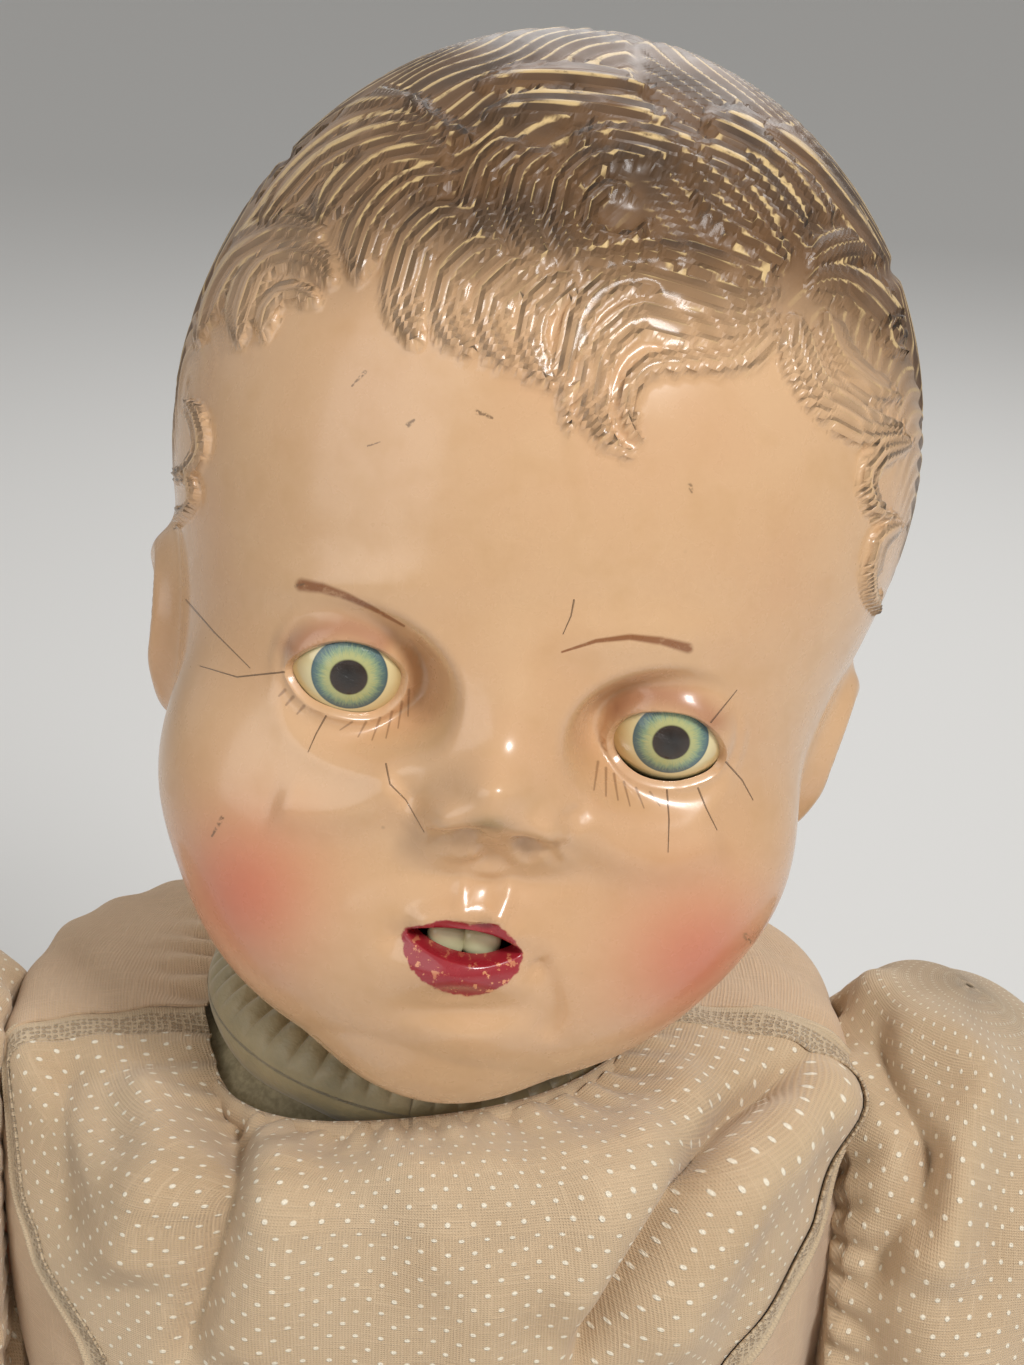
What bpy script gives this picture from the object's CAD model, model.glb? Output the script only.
"""Looks of the composition baby doll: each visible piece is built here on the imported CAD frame."""

import math

import bpy
import numpy as np
from mathutils import Matrix, Vector


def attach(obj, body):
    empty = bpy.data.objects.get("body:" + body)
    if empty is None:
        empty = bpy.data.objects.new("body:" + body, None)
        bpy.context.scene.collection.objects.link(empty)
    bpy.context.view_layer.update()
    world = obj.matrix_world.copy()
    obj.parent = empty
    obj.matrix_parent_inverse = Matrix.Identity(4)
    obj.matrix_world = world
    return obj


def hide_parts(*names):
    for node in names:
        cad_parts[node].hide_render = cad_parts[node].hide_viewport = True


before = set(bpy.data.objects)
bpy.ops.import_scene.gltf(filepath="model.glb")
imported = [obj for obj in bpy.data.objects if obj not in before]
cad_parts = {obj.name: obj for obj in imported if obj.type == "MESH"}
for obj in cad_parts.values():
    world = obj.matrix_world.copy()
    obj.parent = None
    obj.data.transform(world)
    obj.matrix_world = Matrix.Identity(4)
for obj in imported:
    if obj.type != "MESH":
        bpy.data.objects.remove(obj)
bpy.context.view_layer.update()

MM = 0.001

# The photograph's camera, fitted to the head: millimetres, degrees and pixels of the 1024 by 1365 frame.
PHOTO_WIDTH, PHOTO_HEIGHT = 1024.0, 1365.0
FOCAL_PX = 2400.0
CAMERA_DISTANCE = 411.4
CAMERA_TARGET = np.array([13.84, 0.0, 280.92])
CAMERA_AZIMUTH, CAMERA_ELEVATION, CAMERA_ROLL = -0.42, 23.98, 1.71
SENSOR_MM = 36.0

# The head's own frame: its origin is the neck joint, and the head leans to the doll's left.
NECK_JOINT = np.array([0.0, 0.0, 222.0])
HEAD_LEAN = math.radians(10.5)
SEAM_BACK = 11.0


def smooth(low, high, value):
    """0 below low, 1 above high, and an S-curve between."""
    t = np.clip((value - low) / (high - low), 0.0, 1.0)
    return t * t * (3.0 - 2.0 * t)


def bell(value, width):
    """A rounded bump: 1 at zero, falling off over the width."""
    return np.exp(-((value / width) ** 2))


def full_turn(count):
    """Even angles once round, without the last one that meets the first."""
    return np.linspace(0, 2 * math.pi, count, endpoint=False)


def unit(vectors, least=0.0):
    """Each vector at length one. A small least keeps zero vectors from dividing by zero."""
    return vectors / (np.linalg.norm(vectors, axis=1)[:, None] + least)


def as_points(x, y, z):
    """Three grids of coordinates as one list of points."""
    return np.stack(np.broadcast_arrays(x, y, z), -1).reshape(-1, 3)


def catmull_rom(a, b, c, d, f):
    """The points of a Catmull-Rom curve between b and c, at share f of the way."""
    return 0.5 * (2 * b + (c - a) * f + (2 * a - 5 * b + 4 * c - d) * f ** 2
                  + (3 * b - a - 3 * c + d) * f ** 3)


def camera_axes():
    """The photo camera's right, up and forward directions."""
    azimuth, elevation, roll = (math.radians(a) for a in (CAMERA_AZIMUTH, CAMERA_ELEVATION, CAMERA_ROLL))
    forward = np.array([math.sin(azimuth) * math.cos(elevation),
                        math.cos(azimuth) * math.cos(elevation), -math.sin(elevation)])
    level = np.array([math.cos(azimuth), -math.sin(azimuth), 0.0])
    upright = np.cross(level, forward)
    right = level * math.cos(roll) + upright * math.sin(roll)
    up = -level * math.sin(roll) + upright * math.cos(roll)
    return right, up, forward


def photo_pixels(points):
    """Where world points in millimetres lie in the photograph: x and y in pixels."""
    right, up, forward = camera_axes()
    offset = points - (CAMERA_TARGET - forward * CAMERA_DISTANCE)
    depth = offset @ forward
    return np.stack([PHOTO_WIDTH / 2 + FOCAL_PX * (offset @ right) / depth,
                     PHOTO_HEIGHT / 2 - FOCAL_PX * (offset @ up) / depth], axis=-1)


def head_to_world(points):
    """Head-frame millimetres to world millimetres."""
    x, y, z = points[..., 0], points[..., 1], points[..., 2]
    cos, sin = math.cos(HEAD_LEAN), math.sin(HEAD_LEAN)
    return np.stack([x * cos + z * sin, y, z * cos - x * sin], axis=-1) + NECK_JOINT


def curve_through(points, count):
    """A Catmull-Rom curve through the points, with count samples."""
    p = np.asarray(points, float)
    p = np.vstack([2 * p[0] - p[1], p, 2 * p[-1] - p[-2]])
    u = np.linspace(0, len(p) - 3 - 1e-6, count)
    i = u.astype(int)
    f = (u - i)[:, None]
    return catmull_rom(p[i], p[i + 1], p[i + 2], p[i + 3], f)


def closed_curve(points, count):
    """A closed Catmull-Rom outline through the points."""
    p = np.asarray(points, float)
    u = np.linspace(0, len(p), count, endpoint=False)
    i = u.astype(int)
    f = (u - i)[:, None]
    n = len(p)
    return catmull_rom(p[(i - 1) % n], p[i % n], p[(i + 1) % n], p[(i + 2) % n], f)


def along(points, line):
    """Each point's distance from an open line, its signed side offset and its share of the line's length."""
    start, run = line[:-1], np.diff(line, axis=0)
    lengths = np.linalg.norm(run, axis=1)
    travelled = np.concatenate([[0.0], np.cumsum(lengths)])
    best = np.full(len(points), 1e9)
    side = np.zeros(len(points))
    share = np.zeros(len(points))
    for k in range(len(run)):
        offset = points - start[k]
        t = np.clip(offset @ run[k] / (lengths[k] ** 2 + 1e-12), 0, 1)
        gap = offset - t[:, None] * run[k]
        distance = np.hypot(gap[:, 0], gap[:, 1])
        nearer = distance < best
        best = np.where(nearer, distance, best)
        cross = run[k, 0] * offset[:, 1] - run[k, 1] * offset[:, 0]
        side = np.where(nearer, np.sign(cross) * distance, side)
        share = np.where(nearer, (travelled[k] + t * lengths[k]) / travelled[-1], share)
    return best, side, share


def outside_by(points, outline):
    """The signed distance from a closed outline: positive outside it."""
    loop = np.vstack([outline, outline[:1]])
    distance = along(points, loop)[0]
    inside = np.zeros(len(points), bool)
    for a, b in zip(loop[:-1], loop[1:]):
        crosses = (a[1] > points[:, 1]) != (b[1] > points[:, 1])
        at = (b[0] - a[0]) * (points[:, 1] - a[1]) / (b[1] - a[1] + 1e-12) + a[0]
        inside ^= crosses & (points[:, 0] < at)
    return np.where(inside, -distance, distance)


def new_piece(name, verts, faces, body, replaced=(), material=None, smooth_shading=True):
    """A mesh object from points in world millimetres, riding on a CAD body."""
    mesh = bpy.data.meshes.new(name)
    mesh.from_pydata((np.asarray(verts, float) * MM).tolist(), [], [tuple(f) for f in faces])
    mesh.validate()
    mesh.update()
    mesh.polygons.foreach_set("use_smooth", np.full(len(mesh.polygons), smooth_shading))
    piece = bpy.data.objects.new(name, mesh)
    bpy.context.scene.collection.objects.link(piece)
    if material is not None:
        mesh.materials.append(material)
    if replaced:
        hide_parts(*replaced)
    if body:
        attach(piece, body)
    return piece


def store(piece, name, values):
    """Keeps a value for each vertex under a name that the materials read."""
    layer = piece.data.attributes.new(name, "FLOAT", "POINT")
    layer.data.foreach_set("value", np.asarray(values, np.float32))


def store_uv(piece, uv):
    """Keeps a flat coordinate for each vertex as the piece's UV map."""
    layer = piece.data.uv_layers.new(name="flat")
    corners = np.empty(len(piece.data.loops), int)
    piece.data.loops.foreach_get("vertex_index", corners)
    layer.data.foreach_set("uv", np.asarray(uv, np.float32)[corners].ravel())


def grid_faces(rows, columns, wrap_rows=False, wrap_columns=False, offset=0):
    """The four-sided faces of a grid of rows by columns of points."""
    r = np.arange(rows if wrap_rows else rows - 1)
    c = np.arange(columns if wrap_columns else columns - 1)
    i, j = np.meshgrid(r, c, indexing="ij")
    i2, j2 = (i + 1) % rows, (j + 1) % columns
    quads = np.stack([i * columns + j, i * columns + j2, i2 * columns + j2, i2 * columns + j], axis=-1)
    return quads.reshape(-1, 4) + offset


# Materials. Colours are linear.
def linear(red, green, blue):
    """A display colour of 0 to 255 as linear shares."""
    return tuple(((v / 255 + 0.055) / 1.055) ** 2.4 if v > 10 else v / 255 / 12.92
                 for v in (red, green, blue)) + (1.0,)


class Shader:
    """Short calls for the nodes of one material or node group."""

    def __init__(self, tree):
        self.tree = tree

    def node(self, kind, **values):
        made = self.tree.nodes.new(kind)
        for key, value in values.items():
            setattr(made, key, value)
        return made

    def join(self, source, target):
        """Feeds a socket from another socket, or sets it to a plain value."""
        if isinstance(source, bpy.types.NodeSocket):
            self.tree.links.new(source, target)
        elif source is not None:
            target.default_value = source

    def attribute(self, name):
        return self.node("ShaderNodeAttribute", attribute_name=name).outputs["Fac"]

    def math(self, operation, a, b=None, c=None, clamp=False):
        made = self.node("ShaderNodeMath", operation=operation, use_clamp=clamp)
        for socket, value in zip(made.inputs, (a, b, c)):
            self.join(value, socket)
        return made.outputs[0]

    def times(self, a, b, clamp=False):
        return self.math("MULTIPLY", a, b, clamp=clamp)

    def plus(self, a, b, clamp=False):
        return self.math("ADD", a, b, clamp=clamp)

    def minus(self, a, b, clamp=False):
        return self.math("SUBTRACT", a, b, clamp=clamp)

    def ramp(self, value, low, high, start=0.0, end=1.0):
        """A smooth step of a value from low to high, put out from start to end."""
        made = self.node("ShaderNodeMapRange", interpolation_type="SMOOTHSTEP")
        for socket, item in zip(made.inputs, (value, low, high, start, end)):
            self.join(item, socket)
        return made.outputs[0]

    def mix(self, share, a, b):
        made = self.node("ShaderNodeMix", data_type="RGBA")
        for socket, value in zip((made.inputs[0], made.inputs[6], made.inputs[7]), (share, a, b)):
            self.join(value, socket)
        return made.outputs[2]

    def noise(self, vector, scale, detail=3.0, roughness=0.55, distortion=0.0):
        made = self.node("ShaderNodeTexNoise")
        for name, value in (("Vector", vector), ("Scale", scale), ("Detail", detail),
                            ("Roughness", roughness), ("Distortion", distortion)):
            self.join(value, made.inputs[name])
        return made.outputs["Fac"]

    def bump(self, height, distance, strength=1.0, normal=None):
        made = self.node("ShaderNodeBump")
        for name, value in (("Height", height), ("Distance", distance), ("Strength", strength),
                            ("Normal", normal)):
            self.join(value, made.inputs[name])
        return made.outputs["Normal"]

    def coordinates(self, output="Object"):
        return self.node("ShaderNodeTexCoord").outputs[output]

    def flat(self):
        """The piece's flat coordinate."""
        return self.node("ShaderNodeUVMap", uv_map="flat").outputs["UV"]

    def split(self, vector):
        """The X, Y and Z of a vector."""
        made = self.node("ShaderNodeSeparateXYZ")
        self.join(vector, made.inputs[0])
        return made.outputs

    def cover(self, colour, normal):
        """Feeds the material's colour and its relief."""
        self.join(colour, self.surface.inputs["Base Color"])
        self.join(normal, self.surface.inputs["Normal"])

    def group(self, tree, **values):
        made = self.node("ShaderNodeGroup", node_tree=tree)
        for name, value in values.items():
            self.join(value, made.inputs[name])
        return made.outputs


def new_material(name, **surface):
    """A Principled material and the Shader that builds its inputs."""
    material = bpy.data.materials.new(name)
    material.use_nodes = True
    shader = Shader(material.node_tree)
    shader.surface = material.node_tree.nodes["Principled BSDF"]
    for key, value in surface.items():
        shader.join(value, shader.surface.inputs[key.replace("_", " ")])
    return material, shader


def new_group(name, inputs, outputs):
    """A node group with named inputs and outputs, and the Shader that fills it."""
    tree = bpy.data.node_groups.new(name, "ShaderNodeTree")
    for label, kind, value in inputs:
        socket = tree.interface.new_socket(label, in_out="INPUT", socket_type=kind)
        if value is not None:
            socket.default_value = value
    for label, kind in outputs:
        tree.interface.new_socket(label, in_out="OUTPUT", socket_type=kind)
    shader = Shader(tree)
    return tree, shader, shader.node("NodeGroupInput").outputs, shader.node("NodeGroupOutput").inputs


FLOAT, VECTOR = "NodeSocketFloat", "NodeSocketVector"


def make_stroke_group():
    """A brush stroke between two points of the flat coordinate, with a width at each end."""
    tree, s, given, out = new_group(
        "brush_stroke", (("Point", VECTOR, None), ("From", VECTOR, None), ("To", VECTOR, None),
                         ("Start Width", FLOAT, 1.0), ("End Width", FLOAT, 1.0), ("Softness", FLOAT, 0.5)),
        (("Mask", FLOAT),))

    def vector(operation, a, b):
        made = s.node("ShaderNodeVectorMath", operation=operation)
        s.join(a, made.inputs[0])
        s.join(b, made.inputs[1])
        return made
    run = vector("SUBTRACT", given["To"], given["From"]).outputs["Vector"]
    offset = vector("SUBTRACT", given["Point"], given["From"]).outputs["Vector"]
    share = s.math("DIVIDE", vector("DOT_PRODUCT", offset, run).outputs["Value"],
                   vector("DOT_PRODUCT", run, run).outputs["Value"], clamp=True)
    scaled = s.node("ShaderNodeVectorMath", operation="SCALE")
    s.join(run, scaled.inputs[0])
    s.join(share, scaled.inputs["Scale"])
    gap = vector("SUBTRACT", offset, scaled.outputs["Vector"]).outputs["Vector"]
    length = s.node("ShaderNodeVectorMath", operation="LENGTH")
    s.join(gap, length.inputs[0])
    width = s.plus(given["Start Width"],
                   s.times(share, s.minus(given["End Width"], given["Start Width"])))
    distance = s.math("DIVIDE", length.outputs["Value"], width)
    s.join(s.ramp(distance, s.minus(1.0, given["Softness"]),
                  s.plus(1.0, s.times(given["Softness"], 0.4)), 1.0, 0.0), out["Mask"])
    return tree


STROKE = make_stroke_group()


def make_grime_group():
    """Cloudy darkening with small specks, for old paint, varnish and cloth."""
    tree, s, given, out = new_group(
        "grime", (("Vector", VECTOR, None), ("Cloud Scale", FLOAT, 40.0), ("Speck Scale", FLOAT, 900.0),
                  ("Speck Share", FLOAT, 0.3)), (("Cloud", FLOAT), ("Specks", FLOAT)))
    s.join(s.ramp(s.noise(given["Vector"], given["Cloud Scale"], 5.0), 0.35, 0.7), out["Cloud"])
    cells = s.node("ShaderNodeTexVoronoi", distance="EUCLIDEAN")
    s.join(given["Vector"], cells.inputs["Vector"])
    s.join(given["Speck Scale"], cells.inputs["Scale"])
    near = s.ramp(cells.outputs["Distance"], 0.06, 0.2, 1.0, 0.0)
    chance = s.noise(given["Vector"], s.times(given["Speck Scale"], 0.21), 2.0)
    rare = s.ramp(chance, s.minus(0.85, given["Speck Share"]), 0.86)
    s.join(s.times(near, rare), out["Specks"])
    return tree


GRIME = make_grime_group()


# The head's form: soft unions of rounded masses, as distances from a point inside it.
HEAD_CENTRE = np.array([0.0, 4.0, 72.0])
HEAD_MASSES = (
    ((0, 10, 99.5), (61.5, 64, 68)),
    ((0, -6, 64), (53, 52, 60)),
    ((25.5, -25, 49.5), (26.5, 26.5, 26.5)),
    ((-25.5, -25, 49.5), (26.5, 26.5, 26.5)),
    ((0, -28.5, 36.3), (43.5, 31.5, 32.5)),
    ((0, -38, 18), (18, 16, 14)),
    ((0, -46, 42), (18, 13, 14)),
)
MASS_BLEND = 0.35
EYE_X, EYE_Y, EYE_Z = 24.7, -38.9, 77.5
EYE_RADIUS = 10.5
LID_RADIUS = 11.9
LID_DEEPEST = 48.5
EAR_AT, EAR_HALF = np.array([-1.0, 58.5]), np.array([11.5, 20.5])

# Face landmarks in photo pixels. Left and right are the photograph's.
LEFT_EYE_OUTLINE = ((284, 672), (299, 652), (338, 640), (376, 647), (403, 666), (408, 684),
                    (397, 706), (372, 720), (338, 718), (303, 702))
RIGHT_EYE_OUTLINE = ((606, 739), (621, 718), (653, 711), (693, 716), (719, 735), (727, 757),
                     (713, 778), (676, 790), (639, 784), (614, 764))
MOUTH_OUTLINE = ((405, 931), (428, 928), (450, 928), (476, 931), (502, 939), (523, 953),
                 (508, 961), (482, 967), (452, 963), (424, 950))
LIPS_OUTLINE = ((404, 930), (424, 925), (445, 920), (470, 924), (495, 924), (512, 938), (523, 953),
                (517, 972), (500, 988), (470, 996), (436, 989), (412, 970), (403, 948))
NOSE_TIP, NOSE_BRIDGE_TOP = (491, 812), (512, 700)
NOSTRILS = ((462, 846), (530, 853))
NOSE_WINGS = ((438, 822), (552, 836))
PHILTRUM = ((468, 868), (462, 895), (470, 914), (486, 918), (502, 914), (508, 895), (508, 872))
CHIN_BALL = (470, 1045)
BLUSH = ((238, 895, 88), (706, 968, 92))


def smooth_union(distances):
    """The largest of several distances, with rounded joins."""
    top = np.max(distances, axis=0)
    return top + np.log(sum(np.exp(MASS_BLEND * (d - top)) for d in distances)) / MASS_BLEND


def way_out(directions, centre, half):
    """How far from the head's centre each direction leaves an ellipsoid, going on smoothly past its rim."""
    half = np.asarray(half, float)
    offset = (HEAD_CENTRE - np.asarray(centre, float)) / half
    ray = directions / half
    a = (ray * ray).sum(-1)
    b = ray @ offset
    spread = b * b - a * (offset @ offset - 1)
    return (-b + np.sign(spread) * np.sqrt(np.abs(spread))) / a


def plain_head(directions):
    """The smooth head: the union of its masses, drawn in to a lid round each eyeball."""
    reach = smooth_union([way_out(directions, c, h) for c, h in HEAD_MASSES])
    ahead = np.maximum(-directions[:, 1], 0.05)
    to_front = HEAD_CENTRE[1] - EYE_Y + EYE_RADIUS
    plane_x = directions[:, 0] / ahead * to_front
    plane_z = HEAD_CENTRE[2] + directions[:, 2] / ahead * to_front
    for side in (-1, 1):
        from_eye = np.hypot((plane_x - side * EYE_X) / 9.5, (plane_z - EYE_Z) / 6.6)
        lid = way_out(directions, (side * EYE_X, EYE_Y, EYE_Z), (LID_RADIUS,) * 3)
        lid = np.maximum(lid, LID_DEEPEST / ahead)
        share = (1 - smooth(1.05, 2.0, from_eye)) * (directions[:, 1] < -0.3)
        reach = reach + (lid - reach) * share
    return reach


def bump_at(pixels, at, width, height=None):
    """A rounded spot round a photo pixel, of the given half width and half height in pixels."""
    height = width if height is None else height
    return np.exp(-(((pixels[:, 0] - at[0]) / width) ** 2 + ((pixels[:, 1] - at[1]) / height) ** 2))


def ridge_along(pixels, points, width):
    """A rounded ridge along a line of photo pixels, fading at both ends."""
    distance, _, share = along(pixels, curve_through(points, 4 * len(points)))
    return bell(distance, width) * smooth(0, 0.15, share) * (1 - smooth(0.85, 1, share))


def face_relief(pixels):
    """The face's modelling in millimetres: nose, lips, chin, cheeks and creases."""
    h = 9.8 * bump_at(pixels, NOSE_TIP, 50, 46)
    bridge, _, up_it = along(pixels, curve_through((NOSE_TIP, (500, 760), NOSE_BRIDGE_TOP, (518, 600)), 16))
    h += 2.6 * bell(bridge, 44) * smooth(0, 0.15, up_it) * (1 - smooth(0.3, 1.0, up_it))
    h += sum(4.2 * bump_at(pixels, wing, 25, 24) for wing in NOSE_WINGS)
    h -= sum(2.0 * bump_at(pixels, nostril, 15, 9) for nostril in NOSTRILS)
    h -= 1.8 * bump_at(pixels, (494, 878), 64, 16)
    h -= 0.7 * (bump_at(pixels, (412, 790), 28, 60) + bump_at(pixels, (584, 812), 28, 60))
    h += 0.9 * ridge_along(pixels, PHILTRUM, 8) - 0.5 * bump_at(pixels, (486, 892), 9, 22)
    h += 2.0 * ridge_along(pixels, ((404, 926), (445, 916), (470, 920), (495, 920), (526, 952)), 12)
    h += 3.0 * bump_at(pixels, (460, 976), 52, 22)
    h -= 1.6 * bump_at(pixels, (462, 1010), 60, 14)
    h += 2.6 * bump_at(pixels, CHIN_BALL, 70, 42)
    h -= 1.3 * (bump_at(pixels, (396, 936), 14) + bump_at(pixels, (534, 962), 14))
    h -= 1.1 * ridge_along(pixels, ((530, 955), (546, 980), (552, 1012), (540, 1040)), 13)
    h -= 0.7 * ridge_along(pixels, ((408, 790), (420, 815), (412, 842)), 12)
    h -= 0.7 * ridge_along(pixels, ((566, 806), (574, 832), (562, 858)), 12)
    h += 1.5 * ridge_along(pixels, ((268, 800), (310, 812), (360, 808), (404, 782)), 24)
    h += 1.5 * ridge_along(pixels, ((572, 812), (612, 850), (668, 862), (730, 840)), 24)
    h += 1.2 * (bump_at(pixels, (262, 890), 90) + bump_at(pixels, (680, 940), 90))
    h += 0.5 * ridge_along(pixels, ((282, 660), (312, 634), (352, 626), (396, 646)), 14)
    h += 0.5 * ridge_along(pixels, ((604, 722), (640, 698), (690, 702), (728, 732)), 14)
    h += 1.0 * (bump_at(pixels, (340, 585), 90, 26) + bump_at(pixels, (640, 640), 90, 26))
    return h


# Hair locks: a line of photo pixels, half widths at its start and end, and how many strands it holds.
LOCKS = (
    (((640, 205), (622, 188), (598, 192), (588, 216), (606, 238), (636, 236), (656, 212)), 12, 12, 2),
    (((662, 226), (640, 258), (600, 262), (566, 236), (562, 190), (590, 158), (634, 156), (676, 176)),
     20, 18, 3),
    (((560, 140), (610, 132), (668, 140), (724, 180), (762, 226), (796, 262)), 20, 30, 4),
    (((690, 186), (720, 214), (752, 240), (792, 268)), 18, 22, 3),
    (((560, 150), (528, 170), (516, 204), (530, 244), (560, 266)), 24, 18, 3),
    (((528, 140), (490, 160), (474, 196), (484, 232), (508, 258)), 22, 16, 3),
    (((470, 86), (530, 74), (600, 76), (660, 92)), 14, 14, 2),
    (((476, 116), (540, 104), (610, 106), (680, 122)), 18, 18, 3),
    (((404, 92), (420, 116), (448, 132), (478, 138)), 20, 14, 4),
    (((456, 152), (412, 148), (370, 160), (336, 190), (316, 232)), 30, 26, 4),
    (((462, 178), (424, 180), (390, 198), (366, 232), (356, 286)), 24, 26, 4),
    (((480, 214), (440, 222), (412, 250), (404, 300), (418, 352)), 26, 24, 4),
    (((506, 244), (470, 256), (448, 286), (452, 328), (476, 360)), 24, 22, 3),
    (((548, 258), (512, 276), (492, 304), (498, 342), (522, 376)), 22, 24, 3),
    (((584, 272), (548, 292), (530, 324), (534, 362), (556, 392)), 20, 20, 3),
    (((792, 286), (744, 300), (690, 292), (640, 276), (598, 290), (574, 330), (566, 384), (570, 446)),
     24, 12, 3),
    (((788, 306), (744, 328), (690, 326), (640, 318), (606, 344), (592, 388), (602, 432), (640, 462)),
     24, 18, 3),
    (((786, 326), (742, 356), (690, 360), (648, 366), (628, 396), (634, 430), (652, 452)), 20, 10, 2),
    (((806, 262), (842, 246), (880, 244), (916, 262)), 24, 20, 3),
    (((804, 288), (840, 282), (876, 300), (908, 344)), 26, 22, 3),
    (((796, 306), (800, 350), (826, 394), (868, 424), (912, 430)), 26, 26, 4),
    (((826, 306), (838, 344), (866, 380), (906, 400)), 18, 18, 2),
    (((914, 330), (900, 318), (888, 328), (892, 348), (910, 356)), 10, 10, 2),
    (((334, 290), (318, 262), (284, 252), (254, 268), (240, 306), (240, 352)), 18, 22, 3),
    (((322, 306), (292, 290), (268, 306), (262, 344)), 12, 16, 2),
    (((330, 236), (280, 228), (236, 250), (208, 296), (196, 352)), 22, 18, 3),
    (((450, 128), (390, 124), (330, 150), (284, 190), (256, 232)), 22, 26, 4),
    (((420, 96), (356, 104), (296, 142), (246, 196), (214, 258)), 20, 24, 3),
    (((182, 396), (196, 420), (198, 452), (180, 474), (160, 466)), 12, 12, 3),
    (((186, 470), (190, 500), (172, 520), (152, 512)), 10, 10, 2),
    (((700, 110), (752, 138), (800, 176), (836, 226)), 26, 28, 4),
    (((690, 140), (738, 160), (780, 196), (812, 240)), 16, 20, 3),
    (((760, 120), (816, 160), (862, 214), (892, 270)), 20, 24, 3),
    (((918, 440), (886, 450), (870, 480), (880, 512), (904, 516)), 16, 12, 3),
    (((908, 520), (882, 540), (872, 580), (880, 620)), 12, 12, 2),
    (((560, 262), (600, 258), (660, 252), (720, 262), (786, 280)), 18, 18, 3),
)
# Curls that the photograph doesn't show, as head-frame points: whorls on the crown, sides and back.
CURLS = ((0, 52, 152), (34, 30, 152), (-36, 26, 150), (54, 22, 118), (-55, 20, 116), (30, 62, 120),
         (-28, 64, 122), (0, 73, 98), (50, 46, 88), (-50, 46, 88), (24, 68, 72), (-24, 68, 72),
         (58, 14, 86), (-58, 14, 86), (40, 50, 56), (-40, 50, 56), (0, 66, 50), (56, -6, 102), (-56, -8, 102))
CURL_PITCH = 3.4
SPRAY_EDGE = ((120, 330), (200, 300), (262, 262), (330, 268), (400, 250), (470, 262), (530, 262), (600, 282),
              (690, 292), (790, 300), (850, 330), (905, 372), (940, 400))


def curl_strands(points):
    """Spiral strands round the nearest whorl: their phase, and how strongly they show."""
    centres = np.array(CURLS, float)
    gaps = np.linalg.norm(points[:, None, :] - centres[None], axis=2)
    order = np.argsort(gaps, axis=1)
    rows = np.arange(len(points))
    near = order[:, 0]
    first, second = gaps[rows, near], gaps[rows, order[:, 1]]
    axis = centres[near] - HEAD_CENTRE
    axis = unit(axis)
    side = np.cross(axis, (0.3, 0.1, 1.0))
    side = unit(side)
    up = np.cross(axis, side)
    offset = points - centres[near]
    angle = np.arctan2((offset * up).sum(1), (offset * side).sum(1)) / (2 * math.pi)
    turn = np.where(near % 2 == 0, 1.0, -1.0)
    waver = 0.5 * np.sin(points[:, 0] * 0.21 + points[:, 2] * 0.17) * np.cos(points[:, 1] * 0.19)
    phase = first / CURL_PITCH + turn * angle * 2 + waver
    return phase, smooth(0.0, 3.5, second - first)


def hair_zone(points):
    """Where hair is moulded away from the photographed hairline: the crown, back and sides above the nape."""
    edge = 44 + 50 * smooth(8, -30, points[:, 1])
    above = smooth(edge - 6, edge + 8, points[:, 2])
    return above * smooth(-26, -2, points[:, 1] + 0.5 * (points[:, 2] - 118))


def hair_relief(points, pixels, facing):
    """Lock height in millimetres, the strands' wave from -1 to 1, and its strength at each point."""
    phase, strength = curl_strands(points)
    wave = np.cos(2 * math.pi * phase)
    strength = strength * hair_zone(points)
    height = 0.7 * strength
    for order, (line, start, end, strands) in enumerate(LOCKS):
        path = curve_through(line, 5 * len(line))
        low, high = path.min(0) - 40, path.max(0) + 40
        near = np.where((facing > 0.02) & (pixels > low).all(1) & (pixels < high).all(1))[0]
        if not len(near):
            continue
        distance, side, share = along(pixels[near], path)
        half = start + (end - start) * share
        half = half * (0.35 + 0.65 * smooth(0, 0.2, share)) * (0.3 + 0.7 * (1 - smooth(0.75, 1, share)))
        across = distance / half
        body = np.sqrt(np.clip(1 - across ** 2, 0, 1)) * smooth(0, 0.06, share) * (1 - smooth(0.93, 1, share))
        lock = 1.5 * body * smooth(0.02, 0.2, facing[near])
        won = lock > height[near] * 0.75
        rows = near[won]
        height[rows] = np.maximum(lock[won], height[rows] * 0.6)
        waver = 0.09 * np.sin(7 * share[won] + order)
        wave[rows] = np.cos(math.pi * strands * (side[won] / half[won] + waver))
        strength[rows] = smooth(0.1, 0.65, body[won]) * (0.45 + 0.55 * smooth(0.02, 0.2, share[won]))
    return height + 0.3 * wave * strength, wave, strength


def ear_relief(points):
    """Ears moulded close to the head: a raised rim round a hollow, with a lobe."""
    gap = (points[:, 1:] - EAR_AT) / EAR_HALF
    across = np.hypot(gap[:, 0], gap[:, 1])
    side = (np.abs(points[:, 0]) > 35).astype(float)
    h = 4.6 * (1 - smooth(0.35, 1.12, across)) + 2.4 * bell(across - 0.68, 0.17)
    h -= 3.0 * bell(np.hypot(gap[:, 0] + 0.1, (gap[:, 1] - 0.05) / 1.5), 0.34)
    h += 1.3 * bell(np.hypot(gap[:, 0] + 0.42, gap[:, 1] + 0.12), 0.2)
    h += 0.9 * bell(np.hypot(gap[:, 0] - 0.1, gap[:, 1] - 0.1) - 0.42, 0.1) * smooth(-0.4, 0.2, gap[:, 1])
    return h * side


def head_facing(points):
    """How far the smooth head turns towards the photo camera at each point."""
    normal = (points - np.array([0, 6, 84])) / np.array([60.0, 62.0, 78.0]) ** 2
    normal = unit(normal)
    normal = head_to_world(normal) - NECK_JOINT
    _, _, forward = camera_axes()
    towards = CAMERA_TARGET - forward * CAMERA_DISTANCE - head_to_world(points)
    towards = unit(towards)
    return (normal * towards).sum(1)


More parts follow.
